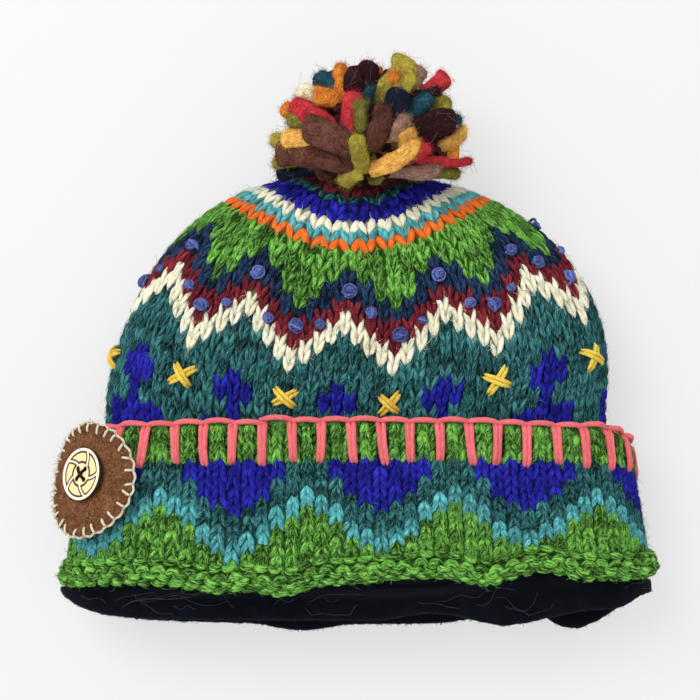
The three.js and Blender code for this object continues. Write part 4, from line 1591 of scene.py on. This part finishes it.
def ball_reach(y):
    """The bobble's reach along X, Y and Z on the side of its centre where y lies."""
    return np.array([BOBBLE_REACH["x"], BOBBLE_REACH["up" if y > 0 else "down"], BOBBLE_REACH["z"]])


def on_ball(x, y, share, upward):
    """A place over or under (x, y) on the bobble's outside, drawn in to a share of its reach."""
    reach = ball_reach(y)
    away = min(0.98, (x / reach[0]) ** 2 + (y / reach[1]) ** 2)
    return BOBBLE + share * np.array([x, y, reach[2] * math.sqrt(1 - away) * upward])


def strip_profile(rings):
    """Shares along a strip with its sizes there, closing in a rounded tip."""
    along = 1 - (1 - np.linspace(0, 0.985, rings)) ** 1.5
    body = mix(0.8, 1.02, smooth_step(along, 0, 0.4))
    into_tip = np.clip((along - 0.78) / 0.22, 0, 1)
    return along[:, None], (body * (1 - into_tip**2.6) ** 0.45)[:, None]


def squared(values):
    """Sines or cosines for a strip's section, rounder than a box and squarer than a ring."""
    return np.sign(values) * np.abs(values) ** STRIP_SQUARENESS


def felt_strip(root, tip, width, rings, sides):
    """A lumpy felted strip with a rounded tip, bowed outwards from the bobble's middle."""
    bow = (root + tip) / 2 - BOBBLE
    least = 0.97 * np.linalg.norm(tip - BOBBLE)
    bow = BOBBLE + bow * max(1, least / np.linalg.norm(bow))
    aside = unit(np.cross(tip - root, bow - BOBBLE))
    bow = bow + aside * np.linalg.norm(tip - root) * rng.normal(0, 0.12)
    along, size = strip_profile(rings)
    size = size * (1 + rng.uniform(-0.25, 0.06) * along)
    spine = root * (1 - along) ** 2 + bow * 2 * along * (1 - along) + tip * along**2
    forward = unit(mix(bow - root, tip - bow, along))
    side = unit(np.cross(forward, unit(spine - BOBBLE) + rng.normal(0, 0.2, 3)))
    face = np.cross(side, forward)
    turn = turns_of(sides)
    thick = STRIP_THICK * rng.uniform(0.7, 1.0)
    across = squared(np.cos(turn)) * size * width * STRIP_FULLNESS / 2
    up = squared(np.sin(turn)) * size * thick / 2
    grid = spine[:, None] + side[:, None] * across[..., None] + face[:, None] * up[..., None]
    away = unit(grid - spine[:, None])
    seed = rng.uniform(0, 50)
    lumps = 0.9 * wobble(grid, 0.13, seed) + 0.4 * wobble(grid, 0.35, seed) + 0.2 * wobble(grid, 0.8, seed)
    grid = kept_above(grid + away * lumps[..., None], FLOOR_CLEAR)
    end = kept_above(spine[-1] + forward[-1] * 0.4, FLOOR_CLEAR)
    return loft(grid, (spine[0], end), tone=rng.uniform(0.35, 0.65)), grid, away, forward


def strip_fuzz(grid, away, forward, count):
    """Fibres matted along a strip, with some standing off it."""
    rings, sides, _ = grid.shape
    ring = rng.integers(rings // 5, rings, count)
    turn = rng.integers(0, sides, count)
    headings = forward[ring] * rng.choice((-1, 1), (count, 1)) + rng.normal(0, 0.8, (count, 3))
    roots = grid[ring, turn] + rng.normal(0, 0.4, (count, 3))
    return fuzz(STRIP_FUZZ, roots, away[ring, turn], headings, STRIP_FIBRE_LENGTH)


def stray_hairs(grid, away):
    """Long pale hairs that lie curled over a strip."""
    each = (STRAY_HAIRS, 1, 1)
    facing_up = np.argwhere(away[..., 2] > 0.5)
    ring, turn = facing_up[rng.integers(0, len(facing_up), STRAY_HAIRS)].T
    out = away[ring, turn][:, None]
    along = np.linspace(0, 1, HAIR_STEPS)[:, None]
    way = unit(np.cross(out, rng.normal(0, 1, (STRAY_HAIRS, 3))[:, None]))
    curl = np.cross(out, way) * rng.normal(0, 1.0, each) * along**2
    rise = out * rng.uniform(0.1, 0.4, each) * along * (1 - along)
    length = rng.uniform(2, 5.5, each)
    lines = grid[ring, turn][:, None] + length * (way * along + curl + rise)
    widths = np.full(lines.shape[:2], HAIR_RADIUS)
    return tubes(lines, np.broadcast_to(out, lines.shape), widths, widths, 3)


def inside_crown(point):
    """Whether a point is in the crown or within 2 mm of it."""
    if point[1] >= CROWN_TOP_Y:
        return False
    s = crown_section(point[1], -2)
    return abs(point[0] - s["centre"]) < s["half"] and s["low"] < point[2] < s["high"]


def ball_ways(count):
    """Ways spread evenly all round a ball by the golden angle, each turned a little at random."""
    for i in range(count):
        rise = 1 - (2 * i + 1) / count
        flat = math.sqrt(1 - rise**2)
        way = np.array([flat * math.cos(GOLDEN_ANGLE * i), flat * math.sin(GOLDEN_ANGLE * i), rise])
        yield unit(way + rng.normal(0, 0.1, 3))


def every_third(colours, i):
    """Colour i of a cycle that steps by three, so that neighbours differ."""
    return colours[i * 3 % len(colours)]


def table_strips():
    """Root, tip, width, colour and fineness of the strips in the table."""
    for s in STRIPS:
        root = on_ball(s["root_x"], s["root_y"], s["depth"] * BOBBLE_CORE_SHARE, 1)
        yield root, on_ball(s["tip_x"], s["tip_y"], TIP_SHARE, 1), s["width"], s["colour"], 1


def under_strips():
    """The same for the strips under the bobble, spread evenly by the golden angle."""
    for i in range(UNDER_STRIPS):
        across = math.sqrt((i + 0.5) / UNDER_STRIPS)
        sine = math.sin(GOLDEN_ANGLE * i)
        x, y, _ = across * ball_reach(sine) * (math.cos(GOLDEN_ANGLE * i), sine, 0)
        root = on_ball(x, y, BOBBLE_CORE_SHARE / 2, -1)
        yield root, on_ball(x, y, UNDER_TIP_SHARE, -1), UNDER_WIDTH, every_third(MIXED_COLOURS, i), 0


def fill_strips():
    """The same for the strips between, lower under the table's and lowest where those lie flat in front."""
    for i, way in enumerate(ball_ways(FILL_STRIPS)):
        share = 0.87 + 0.07 * smooth_step(-way[2], 0.2, 0.6) - 0.07 * smooth_step(way[2], 0.1, 0.5)
        in_front = way[2] > -0.5 and way[1] < 0.25
        tip = BOBBLE + (FILL_FRONT_SHARE if in_front else share) * way * ball_reach(way[1])
        # Dark felt where the gaps between strips lie in shade: real strips, partly painted shade
        colours = GAP_SHADE_COLOURS if in_front or way[2] > 0.25 else MIXED_COLOURS
        yield mix(BOBBLE, tip, 0.5), tip, FILL_WIDTH, every_third(colours, i), 0


def bobble_core():
    """The tied middle of the bobble, which closes the gaps between its strips with a dark colour that is
    painted shade.
    """
    rise = np.linspace(-0.95, 0.95, 15)[:, None]
    turn = turns_of(36)
    flat = np.sqrt(1 - rise**2)
    along = flat * np.sin(turn)
    reach_y = np.where(along > 0, BOBBLE_REACH["up"], BOBBLE_REACH["down"])
    ball = [flat * np.cos(turn) * BOBBLE_REACH["x"], along * reach_y, rise * BOBBLE_REACH["z"] + 0 * turn]
    ends = [BOBBLE + CORE_SHARE * np.array([0, 0, side * BOBBLE_REACH["z"]]) for side in (-1, 1)]
    return loft(BOBBLE + CORE_SHARE * np.stack(ball, -1), ends)


def bobble():
    """One piece for each felt colour, with its strips, their fibres, the core and the stray hairs."""
    shapes = {name: [] for name in FELT_COLOURS}
    shapes[CORE_SHADE_COLOUR].append(bobble_core())
    for root, tip, width, colour, fine in (*table_strips(), *under_strips(), *fill_strips()):
        if not fine and inside_crown(tip):
            continue
        grade = STRIP_GRADES[fine]
        shape, grid, away, forward = felt_strip(root, tip, width, grade["rings"], grade["sides"])
        shapes[colour] += [shape, strip_fuzz(grid, away, forward, grade["fibres"])]
        if fine:
            shapes[HAIR_COLOUR].append(stray_hairs(grid, away))
    for name, made in shapes.items():
        replaced = ["bobble"] if name == "chocolate" else []
        make_piece(f"bobble_{name}", joined(made), FELTS[name], replaced)


# The bobble has random numbers of its own, so that changes elsewhere leave it alone
rng = np.random.default_rng(BOBBLE_SEED)
bobble()

# Floor, light and camera
bpy.ops.mesh.primitive_plane_add(size=6, location=(0, 0, -0.0005))
floor = bpy.context.object
floor.name = "floor"
paper = Nodes("floor_paper")
paper.set(Base_Color=(0.23, 0.23, 0.233, 1), Roughness=0.9)
paper.set(Emission_Color=(1, 1, 1, 1), Emission_Strength=0.575)
floor.data.materials.append(paper.material)

world = bpy.data.worlds.new("studio")
bpy.context.scene.world = world
world.use_nodes = True
world.node_tree.nodes["Background"].inputs["Color"].default_value = (1, 1, 1, 1)
world.node_tree.nodes["Background"].inputs["Strength"].default_value = 1.0
bpy.context.scene.view_settings.view_transform = "Standard"

key_data = bpy.data.lights.new("key", "AREA")
key_data.size = 0.9
key_data.energy = 18
key = bpy.data.objects.new("key", key_data)
key.location = (-0.7, 0.7, 1.3)
key.rotation_euler = (-key.location).to_track_quat("-Z", "Y").to_euler()
bpy.context.scene.collection.objects.link(key)

# The camera looks straight down, with one pixel for PIXEL millimetres at MIDDLE_HIGH
CAMERA_HIGH = 830
MIDDLE_HIGH = 30
PIXEL = 0.45
PICTURE_WIDTH = 700
SENSOR_WIDTH = 36
camera_data = bpy.data.cameras.new("camera")
camera_data.sensor_width = SENSOR_WIDTH
camera_data.lens = (CAMERA_HIGH - MIDDLE_HIGH) / PIXEL * SENSOR_WIDTH / PICTURE_WIDTH
camera = bpy.data.objects.new("camera", camera_data)
camera.location = (-2.7 * MM, -4 * MM, CAMERA_HIGH * MM)
bpy.context.scene.collection.objects.link(camera)
bpy.context.scene.camera = camera
